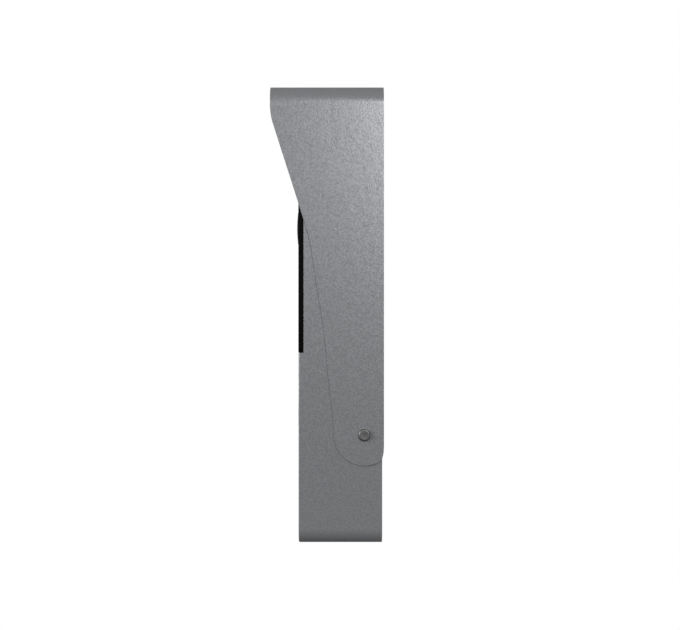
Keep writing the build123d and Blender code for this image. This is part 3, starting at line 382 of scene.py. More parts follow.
def coated_metal(colours):
    """Sand-textured metallic powder coat of the hood and the body."""
    finish = Finish("Sand-textured coat", 0.32, metallic=0.5)
    sand = finish.effect("Sand Texture", Scale=1400.0, Clumping=0.6)
    colour = finish.blend(sand["Fleck"], tuple(colours.coat_fleck), tuple(colours.coat))
    dust = finish.effect("Settled Dust", Amount=0.12)["Mask"]
    finish.feed("Base Color", finish.blend(dust, colour, WALL_DUST))
    finish.feed("Roughness", finish.between(sand["Fleck"], 0.23, 0.36))
    finish.bump(sand["Height"], 0.33, 0.1 * MM)
    return finish.material


def window_black(colours):
    """Black back-printed glazing with a hard clear surface."""
    finish = Finish("Black glazing", 0.09)
    grain = finish.effect("Grain", Scale=400.0)
    base = tuple(colours.window)
    finish.feed("Base Color", finish.blend(grain["Value"], base, scaled(base, 1.4)))
    finish.feed("Roughness", finish.between(grain["Smudge"], 0.04, 0.12))
    finish.set(Specular_IOR_Level=0.1)
    return finish.material


def black_plastic():
    """Moulded black plastic with a fine eroded grain."""
    return grained("Black moulding", (0.012, 0.012, 0.013), (0.02, 0.02, 0.021), 0.52, bump=0.35).material


def white_plastic():
    """Moulded off-white plastic."""
    return grained("White moulding", (0.7, 0.69, 0.66), (0.62, 0.61, 0.58), 0.42, scale=900.0).material


def seal_rubber():
    """Matt black silicone rubber with a dusty bloom."""
    black, bloom = (0.014, 0.014, 0.015), (0.03, 0.03, 0.031)
    finish = grained("Silicone seal", black, bloom, 0.8, scale=700.0, dust=0.35)
    finish.set(Sheen_Weight=0.15)
    return finish.material


def stainless_screws(colours):
    """Stainless steel with a dark, tumbled satin surface."""
    steel = scaled(colours.steel, 0.42)
    return grained("Satin steel", steel, scaled(steel, 0.8), 0.42, metallic=1.0, bump=0.12).material


def bezel_black():
    """Black anodised aluminium with turning marks."""
    low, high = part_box("lens_bezel")
    finish = Finish("Black anodising", 0.3, metallic=0.85)
    marks = finish.effect("Turning Marks", Centre=tuple((low + high) / 2), Scale=6000.0)
    finish.feed("Base Color", finish.blend(marks["Value"], (0.012, 0.012, 0.013), (0.03, 0.03, 0.032)))
    finish.feed("Roughness", finish.between(marks["Value"], 0.24, 0.38))
    finish.bump(marks["Value"], 0.1, 0.01 * MM)
    return finish.material


def lens_glass():
    """Coated dark glass painted with the lens behind it: a dark pupil of painted shade, a violet front
    element, a barrel, and painted shade beyond the barrel.
    """
    finish = Finish("Coated lens glass", 0.04)
    low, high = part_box("lens_window")
    radius = finish.effect("Turning Marks", Centre=tuple((low + high) / 2), Scale=900.0)["Radius"]
    colour = (0.0005, 0.0005, 0.0008)
    pupil_r, element_r, barrel_r = 1.5 * MM, 3.3 * MM, 4.3 * MM
    violet, barrel, shade = (0.014, 0.008, 0.03), (0.03, 0.03, 0.033), (0.002, 0.002, 0.0025)
    # The pupil's near-black and the ring beyond the barrel are painted shade, the dark inside the camera
    # seen through the glass.
    for reach, sharpness, beyond in (
        (pupil_r, 4000.0, violet),
        (element_r, 6000.0, barrel),
        (barrel_r, 6000.0, shade),
    ):
        colour = finish.blend(finish.above(radius, reach, sharpness), colour, beyond)
    finish.feed("Base Color", colour)
    finish.feed("Roughness", finish.between(finish.effect("Grain", Scale=300.0)["Smudge"], 0.02, 0.07))
    finish.set(Coat_Weight=1.0, Coat_Roughness=0.02, Coat_IOR=1.6)
    return finish.material


def circuit_board():
    """Green solder mask over copper tracks, with tinned pads and white print."""
    finish = Finish("Solder mask", 0.35)
    tree = finish.tree
    turn = tree.nodes.new("ShaderNodeMapping")
    turn.inputs["Rotation"].default_value = (math.pi / 2, 0, 0)
    tree.links.new(object_place(tree), turn.inputs["Vector"])
    tracks = tree.nodes.new("ShaderNodeTexBrick")
    layout = {
        "Scale": 420.0,
        "Mortar Size": 0.045,
        "Mortar Smooth": 0.1,
        "Brick Width": 1.9,
        "Row Height": 0.42,
    }
    for label, value in layout.items():
        tracks.inputs[label].default_value = value
    tree.links.new(turn.outputs["Vector"], tracks.inputs["Vector"])
    pads = tree.nodes.new("ShaderNodeTexVoronoi")
    pads.inputs["Scale"].default_value = 360.0
    tree.links.new(turn.outputs["Vector"], pads.inputs["Vector"])
    pad = math_node(tree, "SUBTRACT", 1.0, finish.above(pads.outputs["Distance"], 0.16))
    mask = finish.blend(tracks.outputs["Fac"], (0.008, 0.06, 0.028), (0.02, 0.13, 0.055))
    finish.feed("Base Color", finish.blend(pad, mask, (0.62, 0.58, 0.48)))
    finish.feed("Metallic", pad)
    finish.bump(tracks.outputs["Fac"], 0.3, 0.03 * MM)
    finish.set(Coat_Weight=0.3, Coat_Roughness=0.2)
    return finish.material


def silicon_chip():
    """Dark silicon under glass, with the faint grid of its light cells."""
    finish = Finish("Sensor silicon", 0.12, metallic=0.3)
    cells = finish.tree.nodes.new("ShaderNodeTexChecker")
    cells.inputs["Scale"].default_value = 4000.0
    finish.tree.links.new(object_place(finish.tree), cells.inputs["Vector"])
    finish.feed("Base Color", finish.blend(cells.outputs["Fac"], (0.02, 0.03, 0.05), (0.05, 0.045, 0.07)))
    finish.set(Coat_Weight=1.0, Coat_Roughness=0.03)
    return finish.material


def led_lens():
    """Clear epoxy over a pale light chip."""
    clear, cloudy = (0.62, 0.62, 0.56), (0.5, 0.5, 0.42)
    finish = grained("Clear epoxy", clear, cloudy, 0.15, scale=900.0, bump=0.1)
    finish.set(Coat_Weight=0.8, Coat_Roughness=0.05)
    return finish.material


def light_guide(colours):
    """Milky light guide with a faint glow."""
    milky, deep = (0.72, 0.76, 0.8), (0.6, 0.65, 0.7)
    finish = grained("Milky light guide", milky, deep, 0.34, scale=700.0, bump=0.12)
    cloud = finish.effect("Grain", Scale=260.0)["Value"]
    glow = tuple(colours.glow)
    finish.feed("Emission Color", finish.blend(cloud, scaled(glow, 0.8), glow))
    finish.set(Emission_Strength=0.7, Subsurface_Weight=0.2, Subsurface_Radius=(0.001, 0.001, 0.001))
    return finish.material


def brushed_button(colours):
    """Turned and brushed stainless steel of the call button."""
    low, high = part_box("button_cap")
    finish = Finish("Brushed button steel", 0.32, metallic=1.0)
    marks = finish.effect("Turning Marks", Centre=tuple((low + high) / 2), Scale=5200.0)
    steel = tuple(colours.steel)
    finish.feed("Base Color", finish.blend(marks["Value"], scaled(steel, 0.78), steel))
    finish.feed("Roughness", finish.between(marks["Value"], 0.24, 0.4))
    finish.bump(marks["Value"], 0.16, 0.012 * MM)
    return finish.material


def heat_sink_metal():
    """Cast and tumbled aluminium."""
    bright, dull = (0.62, 0.63, 0.64), (0.48, 0.49, 0.5)
    return grained("Tumbled aluminium", bright, dull, 0.42, metallic=1.0, scale=1100.0, bump=0.35).material


def terminal_green():
    """Green moulded nylon of the terminal block."""
    light, deep = (0.02, 0.2, 0.07), (0.015, 0.15, 0.05)
    return grained("Green nylon", light, deep, 0.5, scale=1200.0, bump=0.3).material


def terminal_steel():
    """Zinc-plated steel with a pale yellow cast."""
    return grained("Zinc-plated steel", (0.66, 0.64, 0.56), (0.52, 0.5, 0.43), 0.36, metallic=1.0).material


def ribbon_film():
    """Amber flexible film with copper lines along it."""
    finish = Finish("Amber film", 0.3)
    lines = finish.tree.nodes.new("ShaderNodeTexWave")
    lines.bands_direction = "X"
    lines.inputs["Scale"].default_value = 640.0
    finish.tree.links.new(object_place(finish.tree), lines.inputs["Vector"])
    track = finish.above(lines.outputs["Fac"], 0.55, 8.0)
    finish.feed("Base Color", finish.blend(track, (0.3, 0.11, 0.02), (0.52, 0.24, 0.08)))
    finish.feed("Metallic", finish.between(track, 0.0, 0.5))
    finish.bump(track, 0.3, 0.02 * MM)
    return finish.material


def copper_coil():
    """Enamelled copper wire wound turn by turn, with painted shade in the grooves between turns and a
    painted highlight along each turn's crest.
    """
    finish = Finish("Enamelled copper", 0.28, metallic=1.0)
    turns = finish.tree.nodes.new("ShaderNodeTexWave")
    turns.bands_direction = "X"
    turns.inputs["Scale"].default_value = 900.0
    finish.tree.links.new(object_place(finish.tree), turns.inputs["Vector"])
    # The bands run from dark to bright copper across each turn: painted shade in the grooves and a painted
    # highlight on the crests; the same bands also raise the turns as relief.
    finish.feed("Base Color", finish.blend(turns.outputs["Fac"], (0.28, 0.07, 0.03), (0.75, 0.25, 0.11)))
    finish.bump(turns.outputs["Fac"], 0.8, 0.05 * MM)
    return finish.material


def magnet_steel():
    """Nickel-plated magnet steel."""
    bright, dull = (0.58, 0.57, 0.54), (0.45, 0.44, 0.42)
    return grained("Nickel plate", bright, dull, 0.22, metallic=1.0, scale=800.0).material


def speaker_metal():
    """Black-coated steel, pierced like the guard behind the grille: each hole is a dark dot of painted
    shade, sunk by the bump.
    """
    finish = Finish("Pierced guard steel", 0.45, metallic=0.6)
    holes = finish.tree.nodes.new("ShaderNodeTexVoronoi")
    holes.inputs["Scale"].default_value = 1400.0
    holes.inputs["Randomness"].default_value = 0.0
    finish.tree.links.new(object_place(finish.tree), holes.inputs["Vector"])
    web = finish.above(holes.outputs["Distance"], 0.36, 12.0)
    # The holes' near-black is painted shade, the dark seen through each hole; the web keeps the coat's own
    # black.
    finish.feed("Base Color", finish.blend(web, (0.002, 0.002, 0.002), (0.05, 0.05, 0.052)))
    finish.bump(web, 0.8, 0.08 * MM)
    return finish.material


def speaker_paper():
    """Pressed black pulp of the cone."""
    black, grey = (0.02, 0.019, 0.018), (0.045, 0.043, 0.04)
    return grained("Pressed pulp", black, grey, 0.9, scale=500.0, bump=0.7).material


def wire_jacket():
    """Soft black cable jacket, drawn lengthwise."""
    grey, black = (0.03, 0.03, 0.032), (0.018, 0.018, 0.019)
    return grained("Cable jacket", grey, black, 0.55, stretch=(1, 1, 0.2)).material


def symbol_print(colours):
    """Pale printed ink, slightly uneven."""
    pale = tuple(colours.print_white)
    return grained("Symbol ink", pale, scaled(pale, 0.85), 0.5, scale=2200.0, bump=0.15).material


FINISHES = {
    "coated_metal": coated_metal,
    "window_black": window_black,
    "black_plastic": black_plastic,
    "white_plastic": white_plastic,
    "seal_rubber": seal_rubber,
    "stainless_screws": stainless_screws,
    "bezel_black": bezel_black,
    "lens_glass": lens_glass,
    "circuit_board": circuit_board,
    "silicon_chip": silicon_chip,
    "led_lens": led_lens,
    "light_guide": light_guide,
    "brushed_button": brushed_button,
    "heat_sink_metal": heat_sink_metal,
    "terminal_green": terminal_green,
    "terminal_steel": terminal_steel,
    "ribbon_film": ribbon_film,
    "copper_coil": copper_coil,
    "magnet_steel": magnet_steel,
    "speaker_metal": speaker_metal,
    "speaker_paper": speaker_paper,
    "wire_jacket": wire_jacket,
    "symbol_print": symbol_print,
}
COLOURED = (
    "coated_metal",
    "window_black",
    "stainless_screws",
    "light_guide",
    "brushed_button",
    "symbol_print",
)
made_finishes = {}


def finish_for(slot):
    """The material of a slot, made the first time it is asked for."""
    if slot not in made_finishes:
        make = FINISHES[slot]
        colours = bpy.context.scene.doorbell_colours
        made_finishes[slot] = make(colours) if slot in COLOURED else make()
    return made_finishes[slot]


# --- Mesh helpers ---------------------------------------------------------------------------------------


def turned(profile, origin, axis, out, closed=False):
    """A mesh made by turning a profile of (radius, height) points about an axis through the origin."""
    steps = bpy.context.scene.doorbell_sizes.turning_steps
    mesh = bmesh.new()
    points = [mesh.verts.new(origin + out * radius + axis * height) for radius, height in profile]
    runs = list(zip(points, points[1:]))
    if closed:
        runs.append((points[-1], points[0]))
    edges = [mesh.edges.new(run) for run in runs]
    bmesh.ops.spin(
        mesh, geom=points + edges, cent=origin, axis=axis, angle=math.tau, steps=steps, use_merge=True
    )
    bmesh.ops.remove_doubles(mesh, verts=mesh.verts, dist=0.0001 * MM)
    bmesh.ops.recalc_face_normals(mesh, faces=mesh.faces)
    return mesh


def soften(mesh, width, segments, angle):
    """Round every edge that is sharper than an angle in degrees."""
    joined = [edge for edge in mesh.edges if len(edge.link_faces) == 2]
    sharp = [edge for edge in joined if edge.calc_face_angle() > math.radians(angle)]
    bmesh.ops.bevel(
        mesh,
        geom=sharp,
        offset=width,
        segments=segments,
        profile=0.5,
        affect="EDGES",
        material=-1,
        clamp_overlap=True,
    )


def only(kind, made):
    """The vertices or the edges among the geometry that a mesh operator made."""
    return [item for item in made if isinstance(item, kind)]


def shallow_arc(radius, height, rings):
    """Points of (radius, fall) on a shallow spherical dome, from its centre to its rim."""
    curve = (radius**2 + height**2) / (2 * height)
    reaches = [radius * ring / (rings - 1) for ring in range(rings)]
    return [(reach, curve - math.sqrt(curve**2 - reach**2)) for reach in reaches]


def keep_piece(mesh, name, body, slot, finish=None, stands_for=()):
    """Make a finished mesh a piece of the doorbell that rides on a body."""
    data = bpy.data.meshes.new(name)
    mesh.to_mesh(data)
    mesh.free()
    data.shade_smooth()
    data.set_sharp_from_angle(angle=math.radians(38))
    data.materials.append(finish_for(finish or slot))
    piece = bpy.data.objects.new(name, data)
    bpy.context.scene.collection.objects.link(piece)
    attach(piece, body)
    if stands_for:
        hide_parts(*stands_for)
    return piece


def dress(*slots):
    """Give the frame's parts in these slots their finishes."""
    for part in frame["record"]["subparts"]:
        if part["material_slot"] in slots:
            materials = frame["nodes"][part["node"]].data.materials
            materials.clear()
            materials.append(finish_for(part["material_slot"]))


def round_edges(node, width):
    """Join a frame part's facets and round its edges, so that they catch the light."""
    piece = frame["nodes"][node]
    weld = piece.modifiers.new("Joined facets", "WELD")
    weld.merge_threshold = 0.001 * MM
    bevel = piece.modifiers.new("Rounded edges", "BEVEL")
    bevel.width = width
    bevel.segments = 2
    bevel.limit_method = "ANGLE"
    bevel.angle_limit = math.radians(40)
    even = piece.modifiers.new("Even shading", "WEIGHTED_NORMAL")
    even.keep_sharp = True
    even.weight = 100


# --- Pieces ---------------------------------------------------------------------------------------------

DISH_DEPTH = 0.4 * MM


def lens_window(low, high):
    """The camera's domed window, thick at its rim."""
    radius = (high.x - low.x) / 2
    axis_point = Vector((0, 0, (low.z + high.z) / 2))
    back, peak = -high.y, -low.y
    dome = [(reach, peak - fall) for reach, fall in shallow_arc(radius, height=0.48 * MM, rings=14)]
    return turned(dome + [(radius, back), (0, back)], axis_point, FRONT, RIGHT)


def lens_bezel(low, high):
    """The ring that holds the lens window: a seat in the panel and a bevelled front."""
    radius = (high.x - low.x) / 2
    axis_point = Vector((0, 0, (low.z + high.z) / 2))
    back, front = -high.y, -low.y
    window_low, window_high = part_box("lens_window")
    pocket_r = (window_high.x - window_low.x) / 2 + 0.05 * MM
    seat = -window_high.y
    panel = -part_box("window_panel")[0].y
    throat_r, spigot_r = 5.3 * MM, 6.5 * MM
    draft, bevel = 0.3 * MM, 0.55 * MM
    profile = [
        (throat_r, back),
        (spigot_r, back),
        (spigot_r, panel),
        (radius, panel),
        (radius - draft, front - bevel),
        (radius - draft - bevel, front),
        (pocket_r, front),
        (pocket_r, seat),
        (throat_r, seat),
    ]
    mesh = turned(profile, axis_point, FRONT, RIGHT, closed=True)
    soften(mesh, 0.08 * MM, segments=2, angle=20)
    return mesh


def bell(width, centre, back, front):
    """A bell symbol: a dome, flared skirt and clapper, standing from a back depth to a front depth."""
    mesh = bmesh.new()
    dome_r = width * 0.3
    crown = centre + UP * width * 0.12
    start = mesh.verts.new(crown + RIGHT * dome_r)
    swept = bmesh.ops.spin(mesh, geom=[start], cent=crown, axis=FRONT, angle=math.pi, steps=20)
    end = only(bmesh.types.BMVert, swept["geom_last"])[0]
    waist = centre - UP * width * 0.22
    hem = centre - UP * width * 0.38
    right = [mesh.verts.new(waist + RIGHT * dome_r), mesh.verts.new(hem + RIGHT * width / 2)]
    left = [mesh.verts.new(waist - RIGHT * dome_r), mesh.verts.new(hem - RIGHT * width / 2)]
    upper, lower = (start, end) if start.co.x > end.co.x else (end, start)
    outline = [upper, *right, *reversed(left), lower]
    for run in zip(outline, outline[1:]):
        mesh.edges.new(run)
    bmesh.ops.contextual_create(mesh, geom=mesh.edges[:])
    add_disc(mesh, centre - UP * width * 0.5, width * 0.1)
    raise_symbol(mesh, back, front)
    return mesh


def quarter_turn_at(centre, axis):
    """A placement at a point, turned a quarter about an axis."""
    return Matrix.Translation(centre) @ Matrix.Rotation(math.pi / 2, 4, axis)


def circle_edges(mesh, radius, segments, placement):
    """The edges of a new open circle, in order."""
    made = bmesh.ops.create_circle(
        mesh, cap_ends=False, segments=segments, radius=radius, matrix=placement
    )
    return list(dict.fromkeys(edge for vert in made["verts"] for edge in vert.link_edges))


def add_disc(mesh, centre, radius, segments=24):
    """A flat disc that faces front."""
    bmesh.ops.create_circle(
        mesh, cap_ends=True, segments=segments, radius=radius, matrix=quarter_turn_at(centre, "X")
    )


def add_ring(mesh, centre, radius, width, segments=32):
    """A flat ring that faces front, bridged between two circles."""
    outer = circle_edges(mesh, radius, segments, quarter_turn_at(centre, "X"))
    inner = circle_edges(mesh, radius - width, segments, quarter_turn_at(centre, "X"))
    bmesh.ops.bridge_loops(mesh, edges=outer + inner)


def add_bar(mesh, centre, width, height):
    """A flat bar that faces front."""
    sized = quarter_turn_at(centre, "X") @ Matrix.Diagonal((width, height, 1, 1))
    bmesh.ops.create_grid(mesh, x_segments=1, y_segments=1, size=0.5, matrix=sized)


def raise_symbol(mesh, back, front):
    """Set flat shapes at a back depth and raise them to a front depth."""
    for vert in mesh.verts:
        vert.co.y = -back
    raised = bmesh.ops.extrude_face_region(mesh, geom=mesh.faces[:])
    moved = only(bmesh.types.BMVert, raised["geom"])
    bmesh.ops.translate(mesh, verts=moved, vec=FRONT * (front - back))
    bmesh.ops.recalc_face_normals(mesh, faces=mesh.faces)


def speech(width, centre, back, front):
    """A talk symbol: a ring with three dots."""
    mesh = bmesh.new()
    add_ring(mesh, centre, width / 2, width * 0.1)
    for step in (-1, 0, 1):
        add_disc(mesh, centre + RIGHT * step * width * 0.2, width * 0.06, segments=16)
    raise_symbol(mesh, back, front)
    return mesh


def key(width, centre, back, front):
    """A door-release symbol: a key with a round bow and two teeth."""
    mesh = bmesh.new()
    add_ring(mesh, centre - RIGHT * width * 0.24, width * 0.22, width * 0.08)
    add_bar(mesh, centre + RIGHT * width * 0.2, width * 0.46, width * 0.09)
    for reach in (0.26, 0.4):
        add_bar(mesh, centre + RIGHT * width * reach - UP * width * 0.11, width * 0.08, width * 0.13)
    raise_symbol(mesh, back, front)
    return mesh


def button_cap(low, high):
    """The call button's cap: a dished front with a rounded rim, on its stem."""
    cap_r = (high.x - low.x) / 2
    axis_point = Vector((0, 0, (low.z + high.z) / 2))
    tip, face = -high.y, -low.y
    dish = shallow_arc(cap_r - 1.3 * MM, DISH_DEPTH, rings=12)
    rim_round, skirt = 0.35 * MM, face - 2.3 * MM
    stem_r, groove_r = 3.0 * MM, 2.6 * MM
    groove_back, groove_front = tip + 1.67 * MM, tip + 2.42 * MM
    profile = [(reach, face - DISH_DEPTH + rise) for reach, rise in dish]
    profile += [
        (cap_r - rim_round, face),
        (cap_r, face - rim_round),
        (cap_r, skirt),
        (stem_r, skirt),
        (stem_r, groove_front),
        (groove_r, groove_front),
        (groove_r, groove_back),
        (stem_r, groove_back),
        (stem_r, tip),
        (0, tip),
    ]
    mesh = turned(profile, axis_point, FRONT, RIGHT)
    soften(mesh, 0.1 * MM, segments=3, angle=30)
    return mesh


def add_block(mesh, centre, size):
    """A block with its centre and its size along each axis."""
    bmesh.ops.create_cube(mesh, size=1, matrix=Matrix.Translation(centre) @ Matrix.Diagonal((*size, 1)))


def add_resistor(bodies, ends, place):
    """A resistor that lies on the board's back, with a tinned end at each side."""
    height = 0.44 * MM
    middle = place - FRONT * height / 2
    add_block(bodies, middle, (1.0 * MM, height, 0.8 * MM))
    for side in (-1, 1):
        add_block(ends, middle + RIGHT * side * 0.65 * MM, (0.3 * MM, height, 0.84 * MM))


def add_driver(bodies, ends, place):
    """A driver chip with four legs along its top and four along its foot."""
    height, legs, pitch = 1.4 * MM, 4, 1.27 * MM
    middle = place - FRONT * height / 2
    add_block(bodies, middle, (5.2 * MM, height, 4.0 * MM))
    for step in range(legs):
        for edge in (-1, 1):
            leg = Vector(((step - (legs - 1) / 2) * pitch, -0.6 * MM, edge * 2.5 * MM))
            add_block(ends, middle + leg, (0.4 * MM, 0.2 * MM, 1.0 * MM))


def board_parts():
    """The small parts above the terminals, two rows of resistors and two drivers, and their metal ends."""
    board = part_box("main_board")[1].y
    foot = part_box("terminal_block")[1].z
    bodies, ends = bmesh.new(), bmesh.new()
    rows, columns = (4 * MM, 7 * MM), 9
    column_pitch = 3.4 * MM
    driver_place, driver_height = 8 * MM, 13.5 * MM
    for row in rows:
        for column in range(columns):
            across = (column - (columns - 1) / 2) * column_pitch
            add_resistor(bodies, ends, Vector((across, board, foot + row)))
    for side in (-1, 1):
        add_driver(bodies, ends, Vector((side * driver_place, board, foot + driver_height)))
    return bodies, ends


def merged_copy(node):
    """A frame part's own shape with its loose facets joined."""
    mesh = bmesh.new()
    mesh.from_mesh(frame["nodes"][node].data)
    bmesh.ops.remove_doubles(mesh, verts=mesh.verts, dist=0.0001 * MM)
    return mesh


def socket_screw(side, low, high):
    """A button-head screw with a hexagon socket, its head on the hood's wing."""
    head_r, crown = (high.y - low.y) / 2, high.x
    axis_point = Vector((0, (low.y + high.y) / 2, (low.z + high.z) / 2))
    outward = RIGHT * side
    seat, rounding = crown - 1.4 * MM, 0.6 * MM
    mouth_r, mouth_height = 1.0 * MM, crown - 0.08 * MM
    hexagon_r, socket_depth = 0.87 * MM, 0.45 * MM
    shank_r, tip = 1.25 * MM, 26.0 * MM
    profile = [(mouth_r, mouth_height)]
    steps = 8
    for step in range(steps):
        turn = math.radians(90) * step / (steps - 1)
        reach = head_r - rounding * (1 - math.sin(turn))
        profile.append((reach, crown - rounding * (1 - math.cos(turn))))
    profile += [(head_r, seat), (shank_r, seat), (shank_r, tip), (0, tip)]
    mesh = turned(profile, axis_point, outward, -FRONT)
    mouth = [edge for edge in mesh.edges if edge.is_boundary]
    hexagon = circle_edges(mesh, hexagon_r, 6, quarter_turn_at(axis_point + outward * mouth_height, "Y"))
    bmesh.ops.bridge_loops(mesh, edges=mouth + hexagon)
    sunk = bmesh.ops.extrude_edge_only(mesh, edges=hexagon)["geom"]
    bmesh.ops.translate(mesh, verts=only(bmesh.types.BMVert, sunk), vec=outward * -socket_depth)
    floor = [edge for edge in only(bmesh.types.BMEdge, sunk) if edge.is_boundary]
    bmesh.ops.contextual_create(mesh, geom=floor)
    bmesh.ops.recalc_face_normals(mesh, faces=mesh.faces)
    return mesh


# --- Operators ------------------------------------------------------------------------------------------


class DOORBELL_OT_metalwork(bpy.types.Operator):
    """Coat the hood and the body and round their edges"""

    bl_idname = "doorbell.metalwork"
    bl_label = "Hood and body"

    def execute(self, context):
        dress("coated_metal")
        for node in ("hood_bracket", "front_housing"):
            round_edges(node, context.scene.doorbell_sizes.edge_round)
        return {"FINISHED"}


class DOORBELL_OT_window(bpy.types.Operator):
    """Glaze the window panel and print its status symbols"""

    bl_idname = "doorbell.window"
    bl_label = "Window panel"

    def execute(self, context):
        dress("window_black", "seal_rubber", "light_guide")
        width = context.scene.doorbell_sizes.status_width
        pitch, sunk, proud = 8 * MM, 0.02 * MM, 0.03 * MM
        guide_low, guide_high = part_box("status_light_guide")
        front = -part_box("window_panel")[0].y
        height = (guide_low.z + guide_high.z) / 2
        symbols = {"bell": bell, "speech": speech, "key": key}
        for step, (name, draw) in zip((-1, 0, 1), symbols.items()):
            centre = Vector((step * pitch, 0, height))
            mesh = draw(width, centre, front - sunk, front + proud)
            keep_piece(mesh, f"status_symbol_{name}", "station", "window_black", finish="symbol_print")
        return {"FINISHED"}


class DOORBELL_OT_camera_eye(bpy.types.Operator):
    """Finish the camera: its domed window and bezel, and the optics behind them"""

    bl_idname = "doorbell.camera_eye"
    bl_label = "Camera"

    def execute(self, context):
        dress("lens_glass", "bezel_black", "silicon_chip", "led_lens")
        window = lens_window(*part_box("lens_window"))
        keep_piece(window, "lens_window_dome", "station", "lens_glass", stands_for=("lens_window",))
        bezel = lens_bezel(*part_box("lens_bezel"))
        keep_piece(bezel, "lens_bezel_ring", "station", "bezel_black", stands_for=("lens_bezel",))
        return {"FINISHED"}


class DOORBELL_OT_call_button(bpy.types.Operator):
    """Finish the call button: its dished cap, its bell symbol, its spring and the metal around it"""

    bl_idname = "doorbell.call_button"
    bl_label = "Call button"

    def execute(self, context):
        dress("brushed_button")
        low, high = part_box("button_cap")
        cap = button_cap(low, high)
        keep_piece(cap, "call_button_cap", "call_button", "brushed_button", stands_for=("button_cap",))
        lift, sunk, proud = 0.2 * MM, 0.1 * MM, 0.14 * MM
        centre = Vector((0, 0, (low.z + high.z) / 2 + lift))
        dish = -low.y - DISH_DEPTH
        symbol = bell(context.scene.doorbell_sizes.bell_width, centre, dish - sunk, dish + proud)
        keep_piece(symbol, "call_button_symbol", "call_button", "brushed_button", finish="black_plastic")
        round_edges("button_bezel", 0.06 * MM)
        coil = merged_copy("button_spring")
        spring = keep_piece(
            coil, "button_return_coil", "station", "stainless_screws", stands_for=("button_spring",)
        )
        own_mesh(spring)
        return {"FINISHED"}


class DOORBELL_OT_side_screws(bpy.types.Operator):
    """Make the two locking screws with rounded heads and hexagon sockets"""

    bl_idname = "doorbell.side_screws"
    bl_label = "Locking screws"

    def execute(self, context):
        dress("stainless_screws")
        low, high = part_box("side_screws")
        left = socket_screw(-1, low, high)
        keep_piece(left, "locking_screw_left", "station", "stainless_screws", stands_for=("side_screws",))
        right = socket_screw(1, low, high)
        keep_piece(right, "locking_screw_right", "station", "stainless_screws")
        return {"FINISHED"}


class DOORBELL_OT_sound(bpy.types.Operator):
    """Finish the loudspeaker and the microphone"""

    bl_idname = "doorbell.sound"
    bl_label = "Sound"

    def execute(self, context):
        dress("speaker_metal", "speaker_paper", "magnet_steel", "wire_jacket")
        return {"FINISHED"}


class DOORBELL_OT_electronics(bpy.types.Operator):
    """Finish the boards with their small parts, the terminals and the mouldings"""

    bl_idname = "doorbell.electronics"
    bl_label = "Electronics"

    def execute(self, context):
        dress("circuit_board", "heat_sink_metal", "terminal_green", "terminal_steel", "ribbon_film")
        dress("copper_coil", "black_plastic", "white_plastic")
        bodies, ends = board_parts()
        keep_piece(bodies, "board_chips", "station", "black_plastic")
        keep_piece(ends, "board_leads", "station", "terminal_steel")
        return {"FINISHED"}


class DOORBELL_OT_stage(bpy.types.Operator):
    """Set up the floor, the room light, the softboxes and the camera"""

    bl_idname = "doorbell.stage"
    bl_label = "Studio"

    def execute(self, context):
        studio = context.scene.doorbell_studio
        floor_drop = 0.12
        light_room(context.scene, studio.fill)
        lay_floor(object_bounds()[0][2] - floor_drop)
        for name, spot, target, size, power in (
            ("Key", (0.8, 0.215, 0.25), (0.03, -0.01, 0.07), (0.08, 0.1), studio.key_power),
            ("Rim", (0.5, -0.75, 0.22), (0, -0.03, 0), (0.45, 0.45), studio.rim_power),
            ("Far", (-0.85, 0.45, 0.05), (0, -0.02, 0), (0.4, 0.4), studio.far_power),
            ("Back", (-0.4, 0.8, 0.05), (0, 0, 0), (0.4, 0.4), studio.far_power),
        ):
            softbox(f"{name} softbox", Vector(spot), Vector(target), size, power)
        place_camera(context.scene, studio)
        context.scene.view_settings.view_transform = "Standard"
        return {"FINISHED"}


def light_room(scene, brightness):
    """A dim even room whose backdrop is seen as plain white."""
    cool_white = (0.98, 0.985, 1.0, 1)
    world = bpy.data.worlds.new("Studio room")
    world.use_nodes = True
    tree = world.node_tree
    seen = tree.nodes.new("ShaderNodeLightPath").outputs["Is Camera Ray"]
    room = tree.nodes["Background"]
    room.inputs["Color"].default_value = cool_white
    room.inputs["Strength"].default_value = brightness
    backdrop = tree.nodes.new("ShaderNodeBackground")
    backdrop.inputs["Color"].default_value = (1, 1, 1, 1)
    backdrop.inputs["Strength"].default_value = 1.0
    choice = tree.nodes.new("ShaderNodeMixShader")
    tree.links.new(seen, choice.inputs[0])
    tree.links.new(room.outputs[0], choice.inputs[1])
    tree.links.new(backdrop.outputs[0], choice.inputs[2])
    tree.links.new(choice.outputs[0], tree.nodes["World Output"].inputs["Surface"])
    scene.world = world


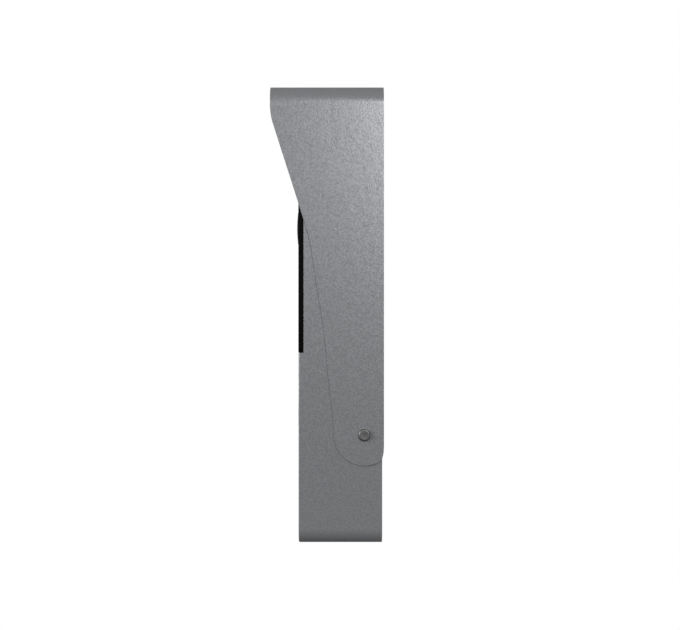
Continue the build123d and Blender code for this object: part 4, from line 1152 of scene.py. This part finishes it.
def lay_floor(height):
    """A grey floor that runs out of sight and is seen as plain white."""
    reach = 20.0
    mesh = bmesh.new()
    bmesh.ops.create_grid(
        mesh, x_segments=1, y_segments=1, size=reach, matrix=Matrix.Translation(UP * height)
    )
    data = bpy.data.meshes.new("studio_floor")
    mesh.to_mesh(data)
    mesh.free()
    material = bpy.data.materials.new("Pale floor")
    material.use_nodes = True
    tree = material.node_tree
    shader = tree.nodes["Principled BSDF"]
    shader.inputs["Base Color"].default_value = (0.17, 0.17, 0.17, 1)
    shader.inputs["Roughness"].default_value = 0.9
    white = tree.nodes.new("ShaderNodeEmission")
    choice = tree.nodes.new("ShaderNodeMixShader")
    tree.links.new(tree.nodes.new("ShaderNodeLightPath").outputs["Is Camera Ray"], choice.inputs[0])
    tree.links.new(shader.outputs[0], choice.inputs[1])
    tree.links.new(white.outputs[0], choice.inputs[2])
    tree.links.new(choice.outputs[0], tree.nodes["Material Output"].inputs["Surface"])
    data.materials.append(material)
    floor = bpy.data.objects.new("studio_floor", data)
    bpy.context.scene.collection.objects.link(floor)
    floor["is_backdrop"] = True


def softbox(name, spot, target, size, power):
    """A rectangular area light at a spot, turned to a target."""
    light = bpy.data.lights.new(name, "AREA")
    light.shape = "RECTANGLE"
    light.size, light.size_y = size
    light.energy = power
    lamp = bpy.data.objects.new(name, light)
    lamp.location = spot
    lamp.rotation_euler = (target - spot).to_track_quat("-Z", "Y").to_euler()
    bpy.context.scene.collection.objects.link(lamp)


def place_camera(scene, studio):
    """A level camera at the station's right side, looking along -X."""
    aim_depth, aim_height = -17.6 * MM, -0.1 * MM
    camera = bpy.data.cameras.new("Side camera")
    camera.sensor_width = 36.0
    camera.lens = camera.sensor_width * studio.camera_distance / studio.frame_width
    camera.clip_start = 0.01
    holder = bpy.data.objects.new("Side camera", camera)
    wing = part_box("hood_bracket")[1].x
    holder.location = (wing + studio.camera_distance, aim_depth, aim_height)
    holder.rotation_euler = (math.pi / 2, 0, math.pi / 2)
    scene.collection.objects.link(holder)
    scene.camera = holder


# --- Panel and registration -----------------------------------------------------------------------------

OPERATORS = (
    DOORBELL_OT_stage,
    DOORBELL_OT_metalwork,
    DOORBELL_OT_window,
    DOORBELL_OT_camera_eye,
    DOORBELL_OT_call_button,
    DOORBELL_OT_side_screws,
    DOORBELL_OT_sound,
    DOORBELL_OT_electronics,
)
SETTINGS = {
    "doorbell_colours": DoorbellColours,
    "doorbell_sizes": DoorbellSizes,
    "doorbell_studio": DoorbellStudio,
}


class DOORBELL_PT_panel(bpy.types.Panel):
    """The doorbell's settings and steps"""

    bl_label = "Video Doorbell"
    bl_idname = "DOORBELL_PT_panel"
    bl_space_type = "VIEW_3D"
    bl_region_type = "UI"
    bl_category = "Doorbell"

    def draw(self, context):
        for name in SETTINGS:
            settings = getattr(context.scene, name)
            box = self.layout.box()
            for prop in settings.bl_rna.properties:
                if prop.identifier not in ("rna_type", "name"):
                    box.prop(settings, prop.identifier)
        for operator in OPERATORS:
            self.layout.operator(operator.bl_idname)


def register():
    for name, settings in SETTINGS.items():
        bpy.utils.register_class(settings)
        setattr(bpy.types.Scene, name, PointerProperty(type=settings))
    for operator in OPERATORS:
        bpy.utils.register_class(operator)
    bpy.utils.register_class(DOORBELL_PT_panel)


def unregister():
    bpy.utils.unregister_class(DOORBELL_PT_panel)
    for operator in reversed(OPERATORS):
        bpy.utils.unregister_class(operator)
    for name, settings in SETTINGS.items():
        delattr(bpy.types.Scene, name)
        bpy.utils.unregister_class(settings)


def main():
    """Finish the doorbell."""
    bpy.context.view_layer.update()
    register()
    bpy.ops.doorbell.stage()
    bpy.ops.doorbell.metalwork()
    bpy.ops.doorbell.window()
    bpy.ops.doorbell.camera_eye()
    bpy.ops.doorbell.call_button()
    bpy.ops.doorbell.side_screws()
    bpy.ops.doorbell.sound()
    bpy.ops.doorbell.electronics()


if __name__ == "__main__":
    main()
